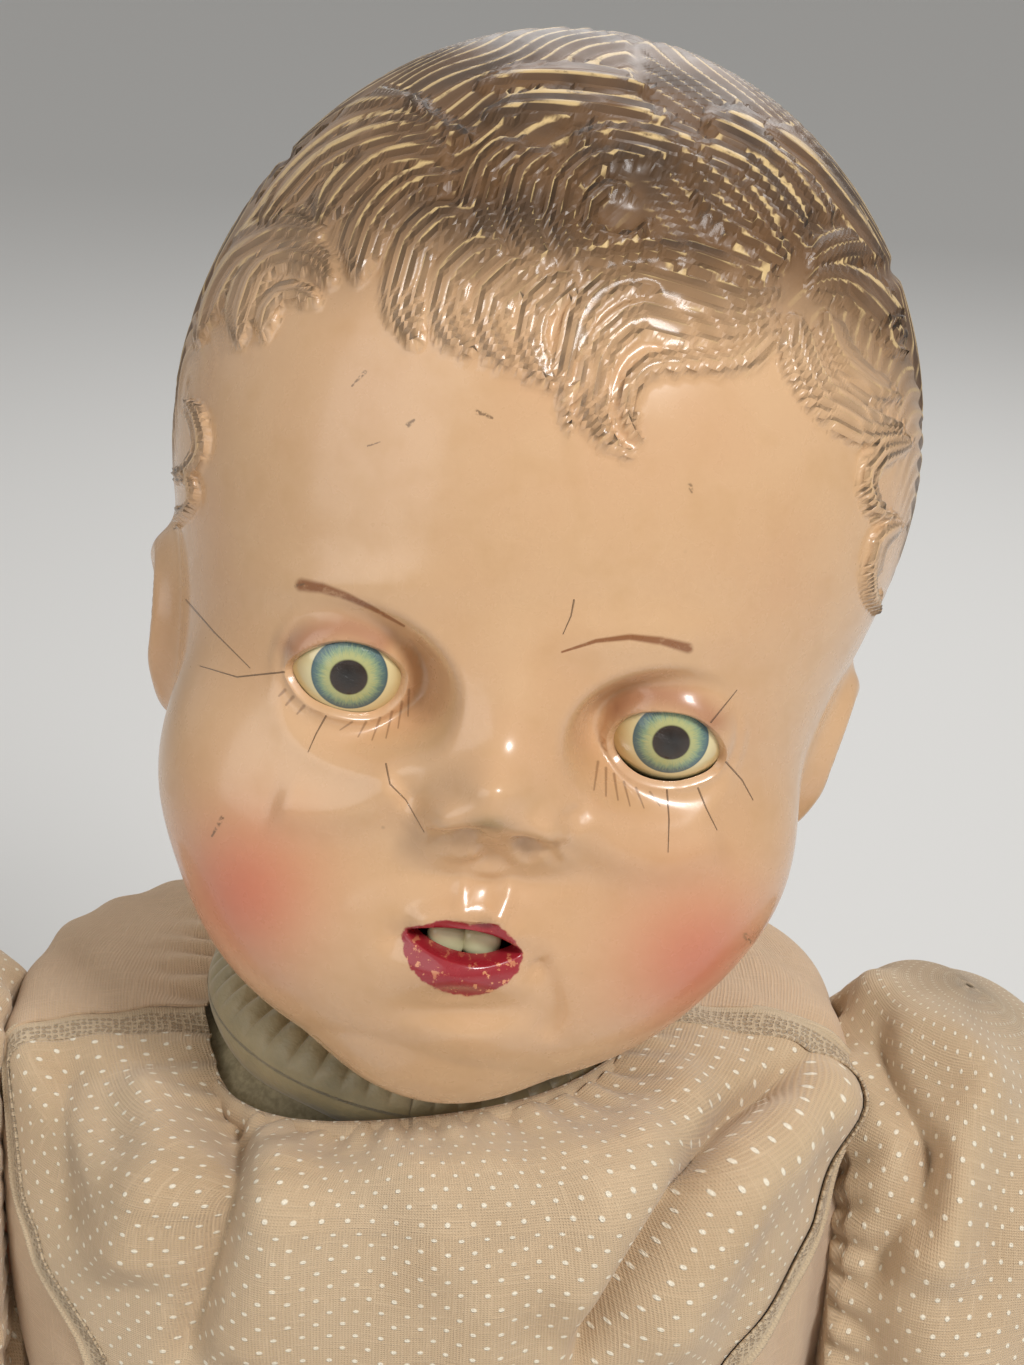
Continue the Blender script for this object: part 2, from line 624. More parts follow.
RELIEF_PASSES = 4


def head_surface(directions):
    """The modelled head along each direction, with what its materials need to know."""
    reach = plain_head(directions)
    extra = np.zeros(len(directions))
    for _ in range(RELIEF_PASSES):
        points = HEAD_CENTRE + directions * (reach + extra)[:, None]
        pixels = photo_pixels(head_to_world(points))
        facing = head_facing(points)
        front = smooth(0.05, 0.25, facing) * (points[:, 1] < 5)
        hair, wave, strength = hair_relief(points, pixels, facing)
        extra = face_relief(pixels) * front + hair + ear_relief(points)
    points = HEAD_CENTRE + directions * (reach + extra)[:, None]
    return points, wave, strength


def dome_directions(count, facing_sign):
    """A square grid of directions over the front or back half of the head, its rim on the seam plane."""
    u, v = np.meshgrid(np.linspace(-1, 1, count), np.linspace(-1, 1, count), indexing="ij")
    x, z = u * np.sqrt(1 - v ** 2 / 2), v * np.sqrt(1 - u ** 2 / 2)
    radius = np.clip(np.hypot(x, z), 0, 1).ravel()
    turn = np.arctan2(z, x).ravel()

    def direction(angle):
        return np.stack([np.sin(angle) * np.cos(turn), facing_sign * np.cos(angle),
                         np.sin(angle) * np.sin(turn)], axis=1)
    widest = np.full(len(turn), math.pi / 2)
    for _ in range(8):
        reach = plain_head(direction(widest))
        widest = np.arccos(np.clip(facing_sign * (SEAM_BACK - HEAD_CENTRE[1]) / reach, -1, 1))
    return direction(radius * widest)


def clipped(points, quads, keep, carried):
    """The part of a grid where keep is positive, cut along zero: points, faces, carried values, loops."""
    inside = keep > 0
    count = inside[quads].sum(1)
    faces = quads[count == 4].tolist()
    new_points, new_values, found, links = [], [], {}, {}

    def crossing(a, b):
        a, b = (a, b) if a < b else (b, a)
        if (a, b) not in found:
            t = keep[a] / (keep[a] - keep[b])
            found[a, b] = len(points) + len(new_points)
            new_points.append(points[a] + (points[b] - points[a]) * t)
            new_values.append([values[a if t < 0.5 else b] for values in carried])
        return found[a, b]
    for quad in quads[(count > 0) & (count < 4)].tolist():
        face, marks = [], []
        for a, b in zip(quad, quad[1:] + quad[:1]):
            if inside[a]:
                face.append(a)
            if inside[a] != inside[b]:
                marks.append(crossing(a, b))
                face.append(marks[-1])
        faces.append(face)
        if len(marks) == 2:
            for a, b in (marks, marks[::-1]):
                links.setdefault(a, []).append(b)
    loops = []
    while links:
        start = next((k for k, v in links.items() if len(v) == 1), next(iter(links)))
        loop, here = [start], start
        while links.get(here):
            there = links[here].pop()
            links[there].remove(here)
            if not links[here]:
                del links[here]
            here = there
            if here == start:
                break
            loop.append(here)
        links = {k: v for k, v in links.items() if v}
        loops.append(loop)
    if new_points:
        points = np.vstack([points, new_points])
        carried = [np.concatenate([values, [row[n] for row in new_values]])
                   for n, values in enumerate(carried)]
    return points, faces, carried, loops


def tidy_points(points, faces, carried):
    """Drops the points that no face uses."""
    used = np.unique(np.concatenate([np.asarray(f) for f in faces]))
    place = np.full(len(points), -1)
    place[used] = np.arange(len(used))
    return points[used], [[int(place[v]) for v in f] for f in faces], [values[used] for values in carried]


def opening_wall(points, faces, carried, loop, steps):
    """Adds a wall round an opening, one ring for each step that a function gives from the rim's points."""
    before = loop
    for ring in steps(points[loop]):
        start = len(points)
        points = np.vstack([points, ring])
        carried = [np.concatenate([values, values[loop]]) for values in carried]
        after = list(range(start, start + len(loop)))
        for n in range(len(loop)):
            m = (n + 1) % len(loop)
            faces.append([before[n], before[m], after[m], after[n]])
        before = after
    return points, faces, carried


NECK_HOLE_TOP, NECK_HOLE_RADIUS = 34, 19.6
EYE_WALL, MOUTH_WALL = 1.25, 3.4  # how deep the openings' walls go
WALL_STEPS = ((0.08, 0.10), (0.25, 0.18), (0.6, 0.2), (1.0, 0.2))  # share of the depth, pull to the middle


def build_dome(count, facing_sign):
    """Half of the head as one grid: its relief, openings and their walls."""
    directions = dome_directions(count, facing_sign)
    points, wave, strength = head_surface(directions)
    quads = grid_faces(count, count)
    if facing_sign > 0:
        quads = quads[:, ::-1]
    from_neck = np.hypot(points[:, 0], points[:, 1]) - NECK_HOLE_RADIUS
    keep = np.where(points[:, 2] < NECK_HOLE_TOP, from_neck, 1.0)
    carried = [wave, strength]
    points, faces, carried, _ = clipped(points, quads, keep, carried)
    if facing_sign < 0:
        for outline, centre, depth in ((LEFT_EYE_OUTLINE, (-EYE_X, EYE_Y, EYE_Z), EYE_WALL),
                                       (RIGHT_EYE_OUTLINE, (EYE_X, EYE_Y, EYE_Z), EYE_WALL),
                                       (MOUTH_OUTLINE, (0, -30, 42), MOUTH_WALL)):
            four = [f for f in faces if len(f) == 4]
            other = [f for f in faces if len(f) != 4]
            pixels = photo_pixels(head_to_world(points))
            gap = outside_by(pixels, closed_curve(outline, 60))
            gap = np.where(points[:, 1] < -30, gap, 50.0)
            points, faces, carried, loops = clipped(points, np.array(four), gap, carried)
            faces += other

            def steps(rim, centre=np.array(centre, float), depth=depth):
                inward = centre - rim
                inward = unit(inward)
                middle = rim.mean(0) - rim
                middle = unit(middle)
                for share, pull in WALL_STEPS:
                    yield rim + inward * depth * share + middle * pull
            points, faces, carried = opening_wall(points, faces, carried, loops[0], steps)
    return tidy_points(points, faces, carried)


# The head's paint. Its flat coordinate holds photo pixels over a thousand.
def pixel(at):
    """A photo pixel in the flat coordinate."""
    return (at[0] / 1000, at[1] / 1000, 0.0)


BROWS = (
    (((302, 585), (322, 588), (346, 596), (372, 608), (404, 626)), 7.5, 1.4),
    (((562, 652), (596, 641), (630, 637), (662, 641), (688, 648)), 1.2, 6.0),
)
LASHES = (
    ((285, 690), (279, 696), 2.2, 1.2), ((293, 697), (286, 705), 2.2, 1.2),
    ((304, 706), (297, 714), 2.2, 1.0),
    ((352, 722), (340, 730), 1.4, 0.8), ((366, 722), (358, 737), 1.6, 0.8),
    ((380, 718), (372, 740), 1.8, 0.9),
    ((392, 712), (386, 738), 1.8, 0.9), ((402, 702), (398, 728), 1.8, 0.9),
    ((409, 690), (408, 716), 1.8, 0.9),
    ((598, 762), (594, 790), 1.8, 1.0), ((606, 768), (606, 796), 1.8, 1.0),
    ((614, 774), (618, 800), 1.8, 1.0),
    ((624, 782), (630, 806), 1.6, 0.8), ((636, 788), (644, 808), 1.6, 0.8),
    ((650, 792), (660, 806), 1.4, 0.7),
)
CRACKS = (
    ((284, 672), (237, 677), (200, 666)), ((186, 600), (214, 632), (250, 668)),
    ((326, 716), (316, 734), (308, 752)),
    ((711, 722), (724, 706), (737, 690)), ((667, 790), (669, 820), (668, 852)),
    ((698, 788), (706, 808), (717, 830)),
    ((726, 762), (742, 780), (753, 800)), ((386, 764), (390, 784), (406, 800), (424, 832)),
    ((574, 600), (571, 616), (563, 634)),
)
SCRATCHES = (
    ((222, 818), (212, 836), 2.6), ((365, 372), (352, 386), 2.2), ((408, 425), (414, 420), 3.0),
    ((478, 412), (492, 418), 3.4), ((690, 486), (692, 492), 3.0), ((368, 446), (380, 442), 1.2),
    ((746, 936), (750, 942), 3.6), ((815, 780), (812, 792), 2.4), ((296, 586), (304, 584), 2.0),
)
SKIN, SKIN_WARM, VARNISH = linear(214, 174, 132), linear(203, 154, 112), linear(190, 146, 92)
BLUSH_RED, LIP_RED, LIP_CHIP = linear(208, 112, 82), linear(142, 26, 36), linear(222, 150, 104)
BROW_BROWN, CRACK_BROWN, LASH_BROWN = linear(138, 84, 42), linear(104, 70, 44), linear(120, 84, 56)
SPRAY_BROWN, SPRAY_DARK, CREST_CREAM = linear(98, 66, 34), linear(64, 42, 22), linear(218, 186, 130)


def paint_strokes(shader, place, strokes):
    """The strongest mask of several brush strokes."""
    mask = 0.0
    for start, end, first, last, softness in strokes:
        one = shader.group(STROKE, **{"Point": place, "From": pixel(start), "To": pixel(end),
                                      "Start Width": first / 1000, "End Width": last / 1000,
                                      "Softness": softness})["Mask"]
        mask = one if isinstance(mask, float) else shader.math("MAXIMUM", mask, one)
    return mask


def line_strokes(points, first, last, softness):
    """A curved line as brush strokes, its width running from first to last."""
    widths = np.linspace(first, last, len(points))
    return [(a, b, w, v, softness) for a, b, w, v in zip(points[:-1], points[1:], widths[:-1], widths[1:])]


def make_skin(name, face):
    """Varnished composition: tan skin, worn brown hair spray and, on the face, the painted features."""
    material, s = new_material(name, Roughness=0.3, Coat_Weight=0.45, Coat_Roughness=0.14,
                               Specular_IOR_Level=0.5)
    place = s.coordinates()
    cloud = s.group(GRIME, Vector=place, **{"Cloud Scale": 26.0, "Speck Scale": 420.0, "Speck Share": 0.2})
    fine = s.noise(place, 160.0, 4.0)
    colour = s.mix(s.times(cloud["Cloud"], 0.45), SKIN, SKIN_WARM)
    colour = s.mix(s.times(s.ramp(fine, 0.45, 0.75), 0.22), colour, VARNISH)
    height = s.times(fine, 0.05)
    if face:
        flat = s.flat()
        shown = s.attribute("face_side")

        def masked(value):
            return s.times(value, shown)
        colour = s.mix(masked(s.times(s.attribute("blush"), 0.85)), colour, BLUSH_RED)
        colour = s.mix(masked(s.times(s.attribute("lid_shade"), 0.55)), colour, linear(150, 82, 56))
        brows = [stroke for points, a, b in BROWS for stroke in line_strokes(points, a, b, 0.6)]
        lashes = [(a, b, w, v, 0.8) for a, b, w, v in LASHES]
        cracks = [stroke for points in CRACKS for stroke in line_strokes(points, 0.8, 0.4, 0.7)]
        scratches = [(a, b, w, w * 0.5, 0.7) for a, b, w in SCRATCHES]
        broken = s.ramp(s.noise(flat, 90.0, 3.0), 0.32, 0.5)
        brow_mask = s.times(paint_strokes(s, flat, brows), s.plus(0.55, s.times(broken, 0.4)))
        colour = s.mix(masked(brow_mask), colour, BROW_BROWN)
        colour = s.mix(masked(s.times(paint_strokes(s, flat, lashes), 0.6)), colour, LASH_BROWN)
        crack_mask = paint_strokes(s, flat, cracks)
        colour = s.mix(masked(s.times(crack_mask, 0.6)), colour, CRACK_BROWN)
        scratch_mask = s.times(paint_strokes(s, flat, scratches), s.ramp(s.noise(flat, 260.0), 0.4, 0.55))
        colour = s.mix(masked(s.times(scratch_mask, 0.8)), colour, linear(112, 84, 56))
        colour = s.mix(masked(s.times(s.attribute("nose_wear"), 0.75)), colour, linear(140, 126, 92))
        edge = s.plus(s.attribute("lip_gap"), s.times(s.minus(s.noise(flat, 120.0, 3.0), 0.5), 7.0))
        lips = s.ramp(edge, -1.2, 1.2, 1.0, 0.0)
        chips = s.plus(s.times(s.ramp(s.noise(flat, 95.0, 4.0, 0.65), 0.57, 0.61), s.attribute("lip_ends")),
                       s.ramp(s.noise(flat, 140.0, 3.0), 0.68, 0.71), clamp=True)
        lip_colour = s.mix(s.noise(flat, 40.0, 2.0), LIP_RED, linear(168, 44, 52))
        lip_colour = s.mix(chips, lip_colour, LIP_CHIP)
        colour = s.mix(masked(lips), colour, lip_colour)
        height = s.minus(height, masked(s.times(crack_mask, 0.5)))
    spray = s.attribute("spray")
    wave = s.attribute("strand_wave")
    strength = s.attribute("strand_strength")
    crest = s.times(s.ramp(wave, 0.62, 0.93), strength)
    ragged = s.ramp(s.noise(place, 330.0, 4.0, 0.7), 0.28, 0.5)
    brown = s.mix(s.ramp(s.noise(place, 70.0, 3.0), 0.4, 0.66), SPRAY_BROWN, SPRAY_DARK)
    valley = s.times(s.ramp(wave, 0.3, -0.8), strength)
    colour = s.mix(s.times(valley, 0.22), colour, linear(150, 112, 72))
    colour = s.mix(s.times(spray, s.plus(0.86, s.times(fine, 0.14))), colour, brown)
    colour = s.mix(s.times(crest, s.times(ragged, s.ramp(spray, 0.0, 0.9, 0.3, 0.95))), colour, CREST_CREAM)
    colour = s.mix(s.times(cloud["Specks"], 0.7), colour, linear(92, 66, 44))
    relief = s.times(s.times(wave, strength), 0.5)
    s.join(colour, s.surface.inputs["Base Color"])
    s.join(s.ramp(spray, 0.0, 1.0, 0.45, 0.12), s.surface.inputs["Coat Weight"])
    s.join(s.ramp(s.plus(fine, s.times(spray, 0.35)), 0.3, 1.1, 0.24, 0.5), s.surface.inputs["Roughness"])
    s.join(s.bump(s.plus(height, relief), 0.0009), s.surface.inputs["Normal"])
    return material


def paint_head(piece, points, wave, strength):
    """Stores what the skin material reads at each vertex of a head piece."""
    pixels = photo_pixels(head_to_world(points))
    facing = head_facing(points)
    front = smooth(0.0, 0.2, facing) * (points[:, 1] < 6)
    store_uv(piece, np.column_stack([pixels[:, 0] / 1000, pixels[:, 1] / 1000]))
    store(piece, "face_side", front)
    store(piece, "strand_wave", wave)
    store(piece, "strand_strength", strength)
    blush = sum(np.exp(-((np.hypot(pixels[:, 0] - x, pixels[:, 1] - y) / r) ** 2) * 1.3) for x, y, r in BLUSH)
    store(piece, "blush", np.clip(blush, 0, 1))
    lids = sum(ridge_along(pixels, line, 15) for line in (
        ((280, 662), (310, 636), (352, 628), (398, 652)), ((602, 722), (640, 696), (690, 702), (728, 738))))
    store(piece, "lid_shade", lids)
    store(piece, "nose_wear", 0.8 * bump_at(pixels, (489, 826), 17, 9))
    store(piece, "lip_gap", np.clip(outside_by(pixels, closed_curve(LIPS_OUTLINE, 80)), -40, 40))
    store(piece, "lip_ends", np.clip(bump_at(pixels, (420, 962), 30, 26) + bump_at(pixels, (500, 975), 30, 26)
                                     + 0.5 * bump_at(pixels, (470, 990), 46, 12), 0, 1))
    edge = curve_through(SPRAY_EDGE, 60)
    edge_y = np.interp(pixels[:, 0], edge[:, 0], edge[:, 1])
    seen = smooth(70, -60, pixels[:, 1] - edge_y) * (0.55 + 0.45 * smooth(250, 480, pixels[:, 0]))
    unseen = hair_zone(points) * smooth(56, 96, points[:, 2])
    store(piece, "spray", np.where(facing > 0.05, seen * (points[:, 2] > 70), unseen))


def build_head():
    """The face and the back of the head. Gives the material of the back for the flange."""
    face_material, back_material = make_skin("face_composition", True), make_skin("head_composition", False)
    for name, count, sign, node, material in (("face", 308, -1, "face_shell", face_material),
                                              ("back_of_head", 230, 1, "back_of_head_shell", back_material)):
        points, faces, (wave, strength) = build_dome(count, sign)
        piece = new_piece(name, head_to_world(points), faces, "head", (node,), material)
        paint_head(piece, points, wave, strength)
    return back_material


# Eyes, teeth and tongue.
IRIS_RADIUS, PUPIL_RADIUS = 6.1, 2.85
LID_START = 42.0  # degrees above the gaze


def make_eye_material():
    """Painted tin eye: pupil, streaked blue-green iris, yellowed white, and a skin-coloured lid above."""
    material, s = new_material("eye_paint", Roughness=0.12, Coat_Weight=0.7, Coat_Roughness=0.04)
    flat = s.flat()
    split = s.split(flat)
    radius = s.attribute("from_pupil")
    angle = s.math("ARCTAN2", split["Y"], split["X"])
    spokes = s.node("ShaderNodeCombineXYZ")
    s.join(s.times(s.math("SINE", angle), 9.0), spokes.inputs["X"])
    s.join(s.times(s.math("COSINE", angle), 9.0), spokes.inputs["Y"])
    s.join(s.times(radius, 0.35), spokes.inputs["Z"])
    streak = s.noise(spokes.outputs[0], 2.2, 5.0, 0.7)
    share = s.ramp(radius, PUPIL_RADIUS, IRIS_RADIUS)
    shifted = s.plus(share, s.times(s.minus(streak, 0.5), 1.3))
    iris = s.mix(s.ramp(shifted, 0.05, 0.55), linear(182, 182, 122), linear(138, 160, 124))
    iris = s.mix(s.ramp(shifted, 0.45, 0.95), iris, linear(82, 112, 112))
    iris = s.mix(s.ramp(radius, IRIS_RADIUS - 0.7, IRIS_RADIUS, 0.0, 0.6), iris, linear(52, 74, 86))
    white = s.mix(s.ramp(radius, IRIS_RADIUS, 9.5), linear(226, 210, 160), linear(204, 176, 118))
    colour = s.mix(s.ramp(radius, IRIS_RADIUS - 0.12, IRIS_RADIUS + 0.12), iris, white)
    pupil = s.mix(s.ramp(radius, 0.4, PUPIL_RADIUS), linear(14, 9, 7), linear(44, 28, 16))
    colour = s.mix(s.ramp(radius, PUPIL_RADIUS - 0.15, PUPIL_RADIUS + 0.25), pupil, colour)
    lid = s.ramp(s.attribute("above_gaze"), LID_START, LID_START + 2)
    colour = s.mix(lid, colour, linear(196, 148, 106))
    s.cover(colour, s.bump(s.times(streak, s.ramp(radius, IRIS_RADIUS, IRIS_RADIUS - 0.3)), 0.0001))
    return material


def ball_grid(rows, columns):
    """Directions of a ball whose first pole looks ahead (-y)."""
    pole = 0.004  # a pinhole instead of one shared point
    polar, turn = np.meshgrid(np.linspace(pole, math.pi - pole, rows), full_turn(columns), indexing="ij")
    return as_points(np.sin(polar) * np.cos(turn), -np.cos(polar), np.sin(polar) * np.sin(turn))


def capped(faces, rows, columns):
    """Grid faces of a tube with its two ends closed."""
    first = list(range(columns))[::-1]
    last = list(range((rows - 1) * columns, rows * columns))
    return faces.tolist() + [first, last]


def build_eyes():
    """Both eyeballs, with what their paint reads at each vertex."""
    material = make_eye_material()
    rows, columns = 96, 128
    ball = ball_grid(rows, columns)
    for name, side in (("left_eye", 1), ("right_eye", -1)):
        points = np.array([side * EYE_X, EYE_Y, EYE_Z]) + ball * EYE_RADIUS
        faces = capped(grid_faces(rows, columns, wrap_columns=True), rows, columns)
        piece = new_piece(name + "_ball", head_to_world(points), faces, "sleep_eyes", (name,), material)
        store_uv(piece, ball[:, [0, 2]])
        store(piece, "from_pupil", np.arccos(np.clip(-ball[:, 1], -1, 1)) * EYE_RADIUS)
        store(piece, "above_gaze", np.degrees(np.arctan2(ball[:, 2], -ball[:, 1])))


def head_point(pixel_at, depth):
    """The head-frame point that shows at a photo pixel, on the plane at that depth ahead of the neck."""
    right, up, forward = camera_axes()
    aside, below = pixel_at[0] - PHOTO_WIDTH / 2, pixel_at[1] - PHOTO_HEIGHT / 2
    ray = forward + right * aside / FOCAL_PX - up * below / FOCAL_PX
    eye = CAMERA_TARGET - forward * CAMERA_DISTANCE
    world = eye + ray * (-depth - eye[1]) / ray[1]
    x, _, z = world - NECK_JOINT
    cos, sin = math.cos(HEAD_LEAN), math.sin(HEAD_LEAN)
    return np.array([x * cos - z * sin, -depth, x * sin + z * cos])


def rounded_block(centre, half, power, rows=28, columns=40):
    """A superellipsoid: a ball at power 2, squarer as the power grows."""
    ball = ball_grid(rows, columns)
    size = (np.abs(ball) ** power).sum(1) ** (-1 / power)
    return np.asarray(centre) + ball * size[:, None] * np.asarray(half), capped(
        grid_faces(rows, columns, wrap_columns=True), rows, columns)


def merged(shapes):
    """Several point and face lists as one."""
    points, faces, start = [], [], 0
    for p, f in shapes:
        points.append(p)
        faces += [[v + start for v in face] for face in f]
        start += len(p)
    return np.vstack(points), faces


def build_mouth():
    """Two upper teeth and the felt tongue."""
    teeth_material, s = new_material("old_celluloid", Roughness=0.25, Base_Color=linear(206, 194, 142),
                                     Coat_Weight=0.3)
    s.join(s.mix(s.noise(s.coordinates(), 300.0), linear(236, 228, 186), linear(214, 202, 150)),
           s.surface.inputs["Base Color"])
    left, right = head_point((446, 938), 55.0), head_point((480, 942), 55.0)
    shapes = [rounded_block(at + np.array([0, -0.6, 0.9]), (3.1, 2.4, 2.5), 3.2) for at in (left, right)]
    points, faces = merged(shapes)
    teeth = new_piece("tooth_pair", head_to_world(points), faces, "head", ("upper_teeth",), teeth_material)
    felt, s = new_material("red_felt", Roughness=0.95)
    fuzz = s.noise(s.coordinates(), 1500.0, 4.0, 0.7)
    s.cover(s.mix(fuzz, linear(96, 22, 22), linear(140, 44, 38)), s.bump(fuzz, 0.0004))
    at = head_point((464, 956), 52.0)
    points, faces = rounded_block(at + np.array([0, 8.0, -1.6]), (7.6, 9.0, 2.6), 2.4)
    tongue = new_piece("felt_tongue_pad", head_to_world(points), faces, "head", ("felt_tongue",), felt)


# Cloth. A cloth piece's flat coordinate is in metres of cloth.
DRESS_DOT_X, DRESS_DOT_Y, DRESS_DOT_RADIUS = 0.0038, 0.0058, 0.00042


def make_weave_group():
    """A plain weave with slubs: thread height, and a cloudy variation of its colour."""
    tree, s, given, out = new_group(
        "plain_weave", (("Vector", VECTOR, None), ("Threads", FLOAT, 2200.0), ("Slub", FLOAT, 0.5)),
        (("Height", FLOAT), ("Slubs", FLOAT), ("Cloud", FLOAT)))
    split = s.split(given["Vector"])
    warp = s.math("SINE", s.times(split["X"], s.times(given["Threads"], 2 * math.pi)))
    weft = s.math("SINE", s.times(split["Y"], s.times(given["Threads"], 2 * math.pi)))
    s.join(s.math("MAXIMUM", s.times(warp, 0.5), s.times(weft, 0.5)), out["Height"])

    def slubs(stretch):
        """Thick places that run along the threads of one direction."""
        drawn = s.node("ShaderNodeVectorMath", operation="MULTIPLY")
        s.join(given["Vector"], drawn.inputs[0])
        drawn.inputs[1].default_value = stretch
        return s.ramp(s.noise(drawn.outputs[0], 1700.0, 2.0), 0.5, 0.75)
    upright, level = slubs((1.0, 0.06, 1.0)), slubs((0.06, 1.0, 1.0))
    s.join(s.times(s.math("MAXIMUM", upright, level), given["Slub"]), out["Slubs"])
    s.join(s.ramp(s.noise(given["Vector"], 22.0, 4.0), 0.3, 0.75), out["Cloud"])
    return tree


WEAVE = make_weave_group()


def make_cloth(name, light, dark, threads=2200.0, roughness=0.85, sheen=0.25, dots=False, holes=False,
               depth=0.00012):
    """Woven cloth in a light and a dark tone, plain, dotted, or openwork with corded edges."""
    material, s = new_material(name, Roughness=roughness, Sheen_Weight=sheen, Specular_IOR_Level=0.3)
    flat = s.flat()
    weave = s.group(WEAVE, Vector=flat, Threads=threads, Slub=0.6)
    cloudy = s.plus(s.times(weave["Cloud"], 0.5), s.times(weave["Slubs"], -0.2), clamp=True)
    colour = s.mix(cloudy, light, dark)
    brighter = tuple(min(1.0, 1.25 * c) for c in light[:3]) + (1.0,)
    colour = s.mix(s.times(weave["Slubs"], 0.35), colour, brighter)
    height = s.plus(weave["Height"], weave["Slubs"])
    if dots:
        split = s.split(flat)
        spot = 0.0

        def from_dot(axis, pitch, shift):
            """The distance from the nearest dot along one axis, in dot radii."""
            cell = s.math("FRACT", s.plus(s.math("DIVIDE", split[axis], pitch), shift))
            return s.times(s.minus(cell, 0.5), pitch / DRESS_DOT_RADIUS)
        for shift in (0.0, 0.5):
            x, y = from_dot("X", DRESS_DOT_X, shift), from_dot("Y", DRESS_DOT_Y, shift)
            away = s.math("SQRT", s.plus(s.times(x, x), s.times(y, y)))
            one = s.ramp(away, 0.7, 1.25, 1.0, 0.0)
            spot = one if isinstance(spot, float) else s.math("MAXIMUM", spot, one)
        colour = s.mix(s.times(spot, 0.95), colour, linear(250, 240, 218))
        height = s.plus(height, s.times(spot, 1.2))
    if holes:
        cells = s.node("ShaderNodeTexVoronoi")
        s.join(flat, cells.inputs["Vector"])
        s.join(900.0, cells.inputs["Scale"])
        s.join(0.35, cells.inputs["Randomness"])
        hole = s.ramp(cells.outputs["Distance"], 0.34, 0.46, 1.0, 0.0)
        hole = s.times(hole, s.ramp(s.attribute("across"), 0.66, 0.74, 1.0, 0.0))
        colour = s.mix(s.times(hole, 0.5), colour, linear(146, 116, 84))
        height = s.minus(height, s.times(hole, 2.5))
    s.cover(colour, s.bump(height, depth))
    return material


FOLDS = (  # line of photo pixels, half width in pixels, height in millimetres
    (((836, 1030), (780, 1080), (722, 1122), (668, 1210), (596, 1330), (560, 1420)), 15, -7.0),
    (((880, 1050), (812, 1110), (762, 1160), (704, 1250), (640, 1390)), 34, 6.5),
    (((730, 1060), (670, 1100), (620, 1200), (540, 1340)), 40, 3.5),
    (((206, 1060), (236, 1160), (206, 1280), (170, 1400)), 18, -5.0),
    (((150, 1060), (160, 1160), (126, 1290)), 38, 5.5),
    (((270, 1120), (280, 1240), (236, 1390)), 38, 4.5),
    (((60, 1030), (50, 1130), (70, 1260)), 26, -4.0),
    (((330, 1140), (420, 1180), (560, 1170), (660, 1130)), 40, 1.6),
    (((420, 1230), (480, 1300), (470, 1400)), 40, 1.8),
    (((900, 1000), (880, 1060), (930, 1160), (918, 1260)), 18, -5.0),
    (((860, 960), (890, 1020), (960, 1060), (1010, 1120)), 28, 4.5),
    (((940, 1120), (900, 1220), (860, 1300)), 20, -4.5),
    (((990, 1080), (960, 1180), (940, 1300)), 32, 4.5),
)


def cloth_folds(points, normals):
    """Moves cloth along its normal by the photographed folds and by small soft creases."""
    pixels = photo_pixels(points)
    _, _, forward = camera_axes()
    seen = smooth(0.0, 0.3, -(normals @ forward))
    h = np.zeros(len(points))
    for line, width, height in FOLDS:
        distance, _, share = along(pixels, curve_through(line, 24))
        h += height * bell(distance, width) * smooth(0, 0.2, share) * (1 - smooth(0.8, 1, share)) * seen
    x, y, z = points.T
    creases = np.sin(x * 0.19 + 1.7 * np.sin(z * 0.051 + 1.0) + 0.03 * y)
    h += 0.7 * creases * np.sin(z * 0.043 + y * 0.09 + x * 0.02)
    h += 0.35 * np.sin(x * 0.41 + 2.1 * np.sin(z * 0.083) + y * 0.33)
    return h


def ring_normals(points, rows, columns):
    """Outward normals of a tube grid from its neighbours."""
    grid = points.reshape(rows, columns, 3)
    around = np.roll(grid, -1, 1) - np.roll(grid, 1, 1)
    down = np.gradient(grid, axis=0)
    normal = np.cross(around, down).reshape(-1, 3)
    return unit(normal, 1e-9)


def cloth_piece(name, points, faces, uv, body, nodes, material, thickness=0.0005):
    """A sheet of cloth with a thickness, declared with the flat size that its area gives."""
    piece = new_piece(name, points, faces, body, nodes, material)
    store_uv(piece, uv)
    solid = piece.modifiers.new("thickness", "SOLIDIFY")
    solid.thickness = thickness
    solid.offset = -1
    return piece


def column_between(start, end, columns):
    """Even shares of the way from start to end for each row: an array of rows by columns."""
    share = np.linspace(0, 1, columns)[None]
    return start[:, None] * (1 - share) + end[:, None] * share


LEVEL_HEIGHTS = np.array((218.5, 216.5, 213.0, 206.0, 190.0, 165.0, 140.0, 120.0, 111.0))
LEVEL_WIDTHS = np.array((39.5, 48.0, 63.0, 74.0, 78.0, 77.0, 74.0, 70.5, 69.5))
LEVEL_DEPTHS = np.array((39.0, 43.0, 47.0, 50.0, 53.0, 55.5, 56.0, 55.0, 54.5))
PANEL_ROWS = 170


def neck_dip(turn):
    """How far the neckline sags at the doll's right, in millimetres, for an angle from straight ahead."""
    return 8.0 * bell(np.angle(np.exp(1j * (turn + 0.95))), 0.75)


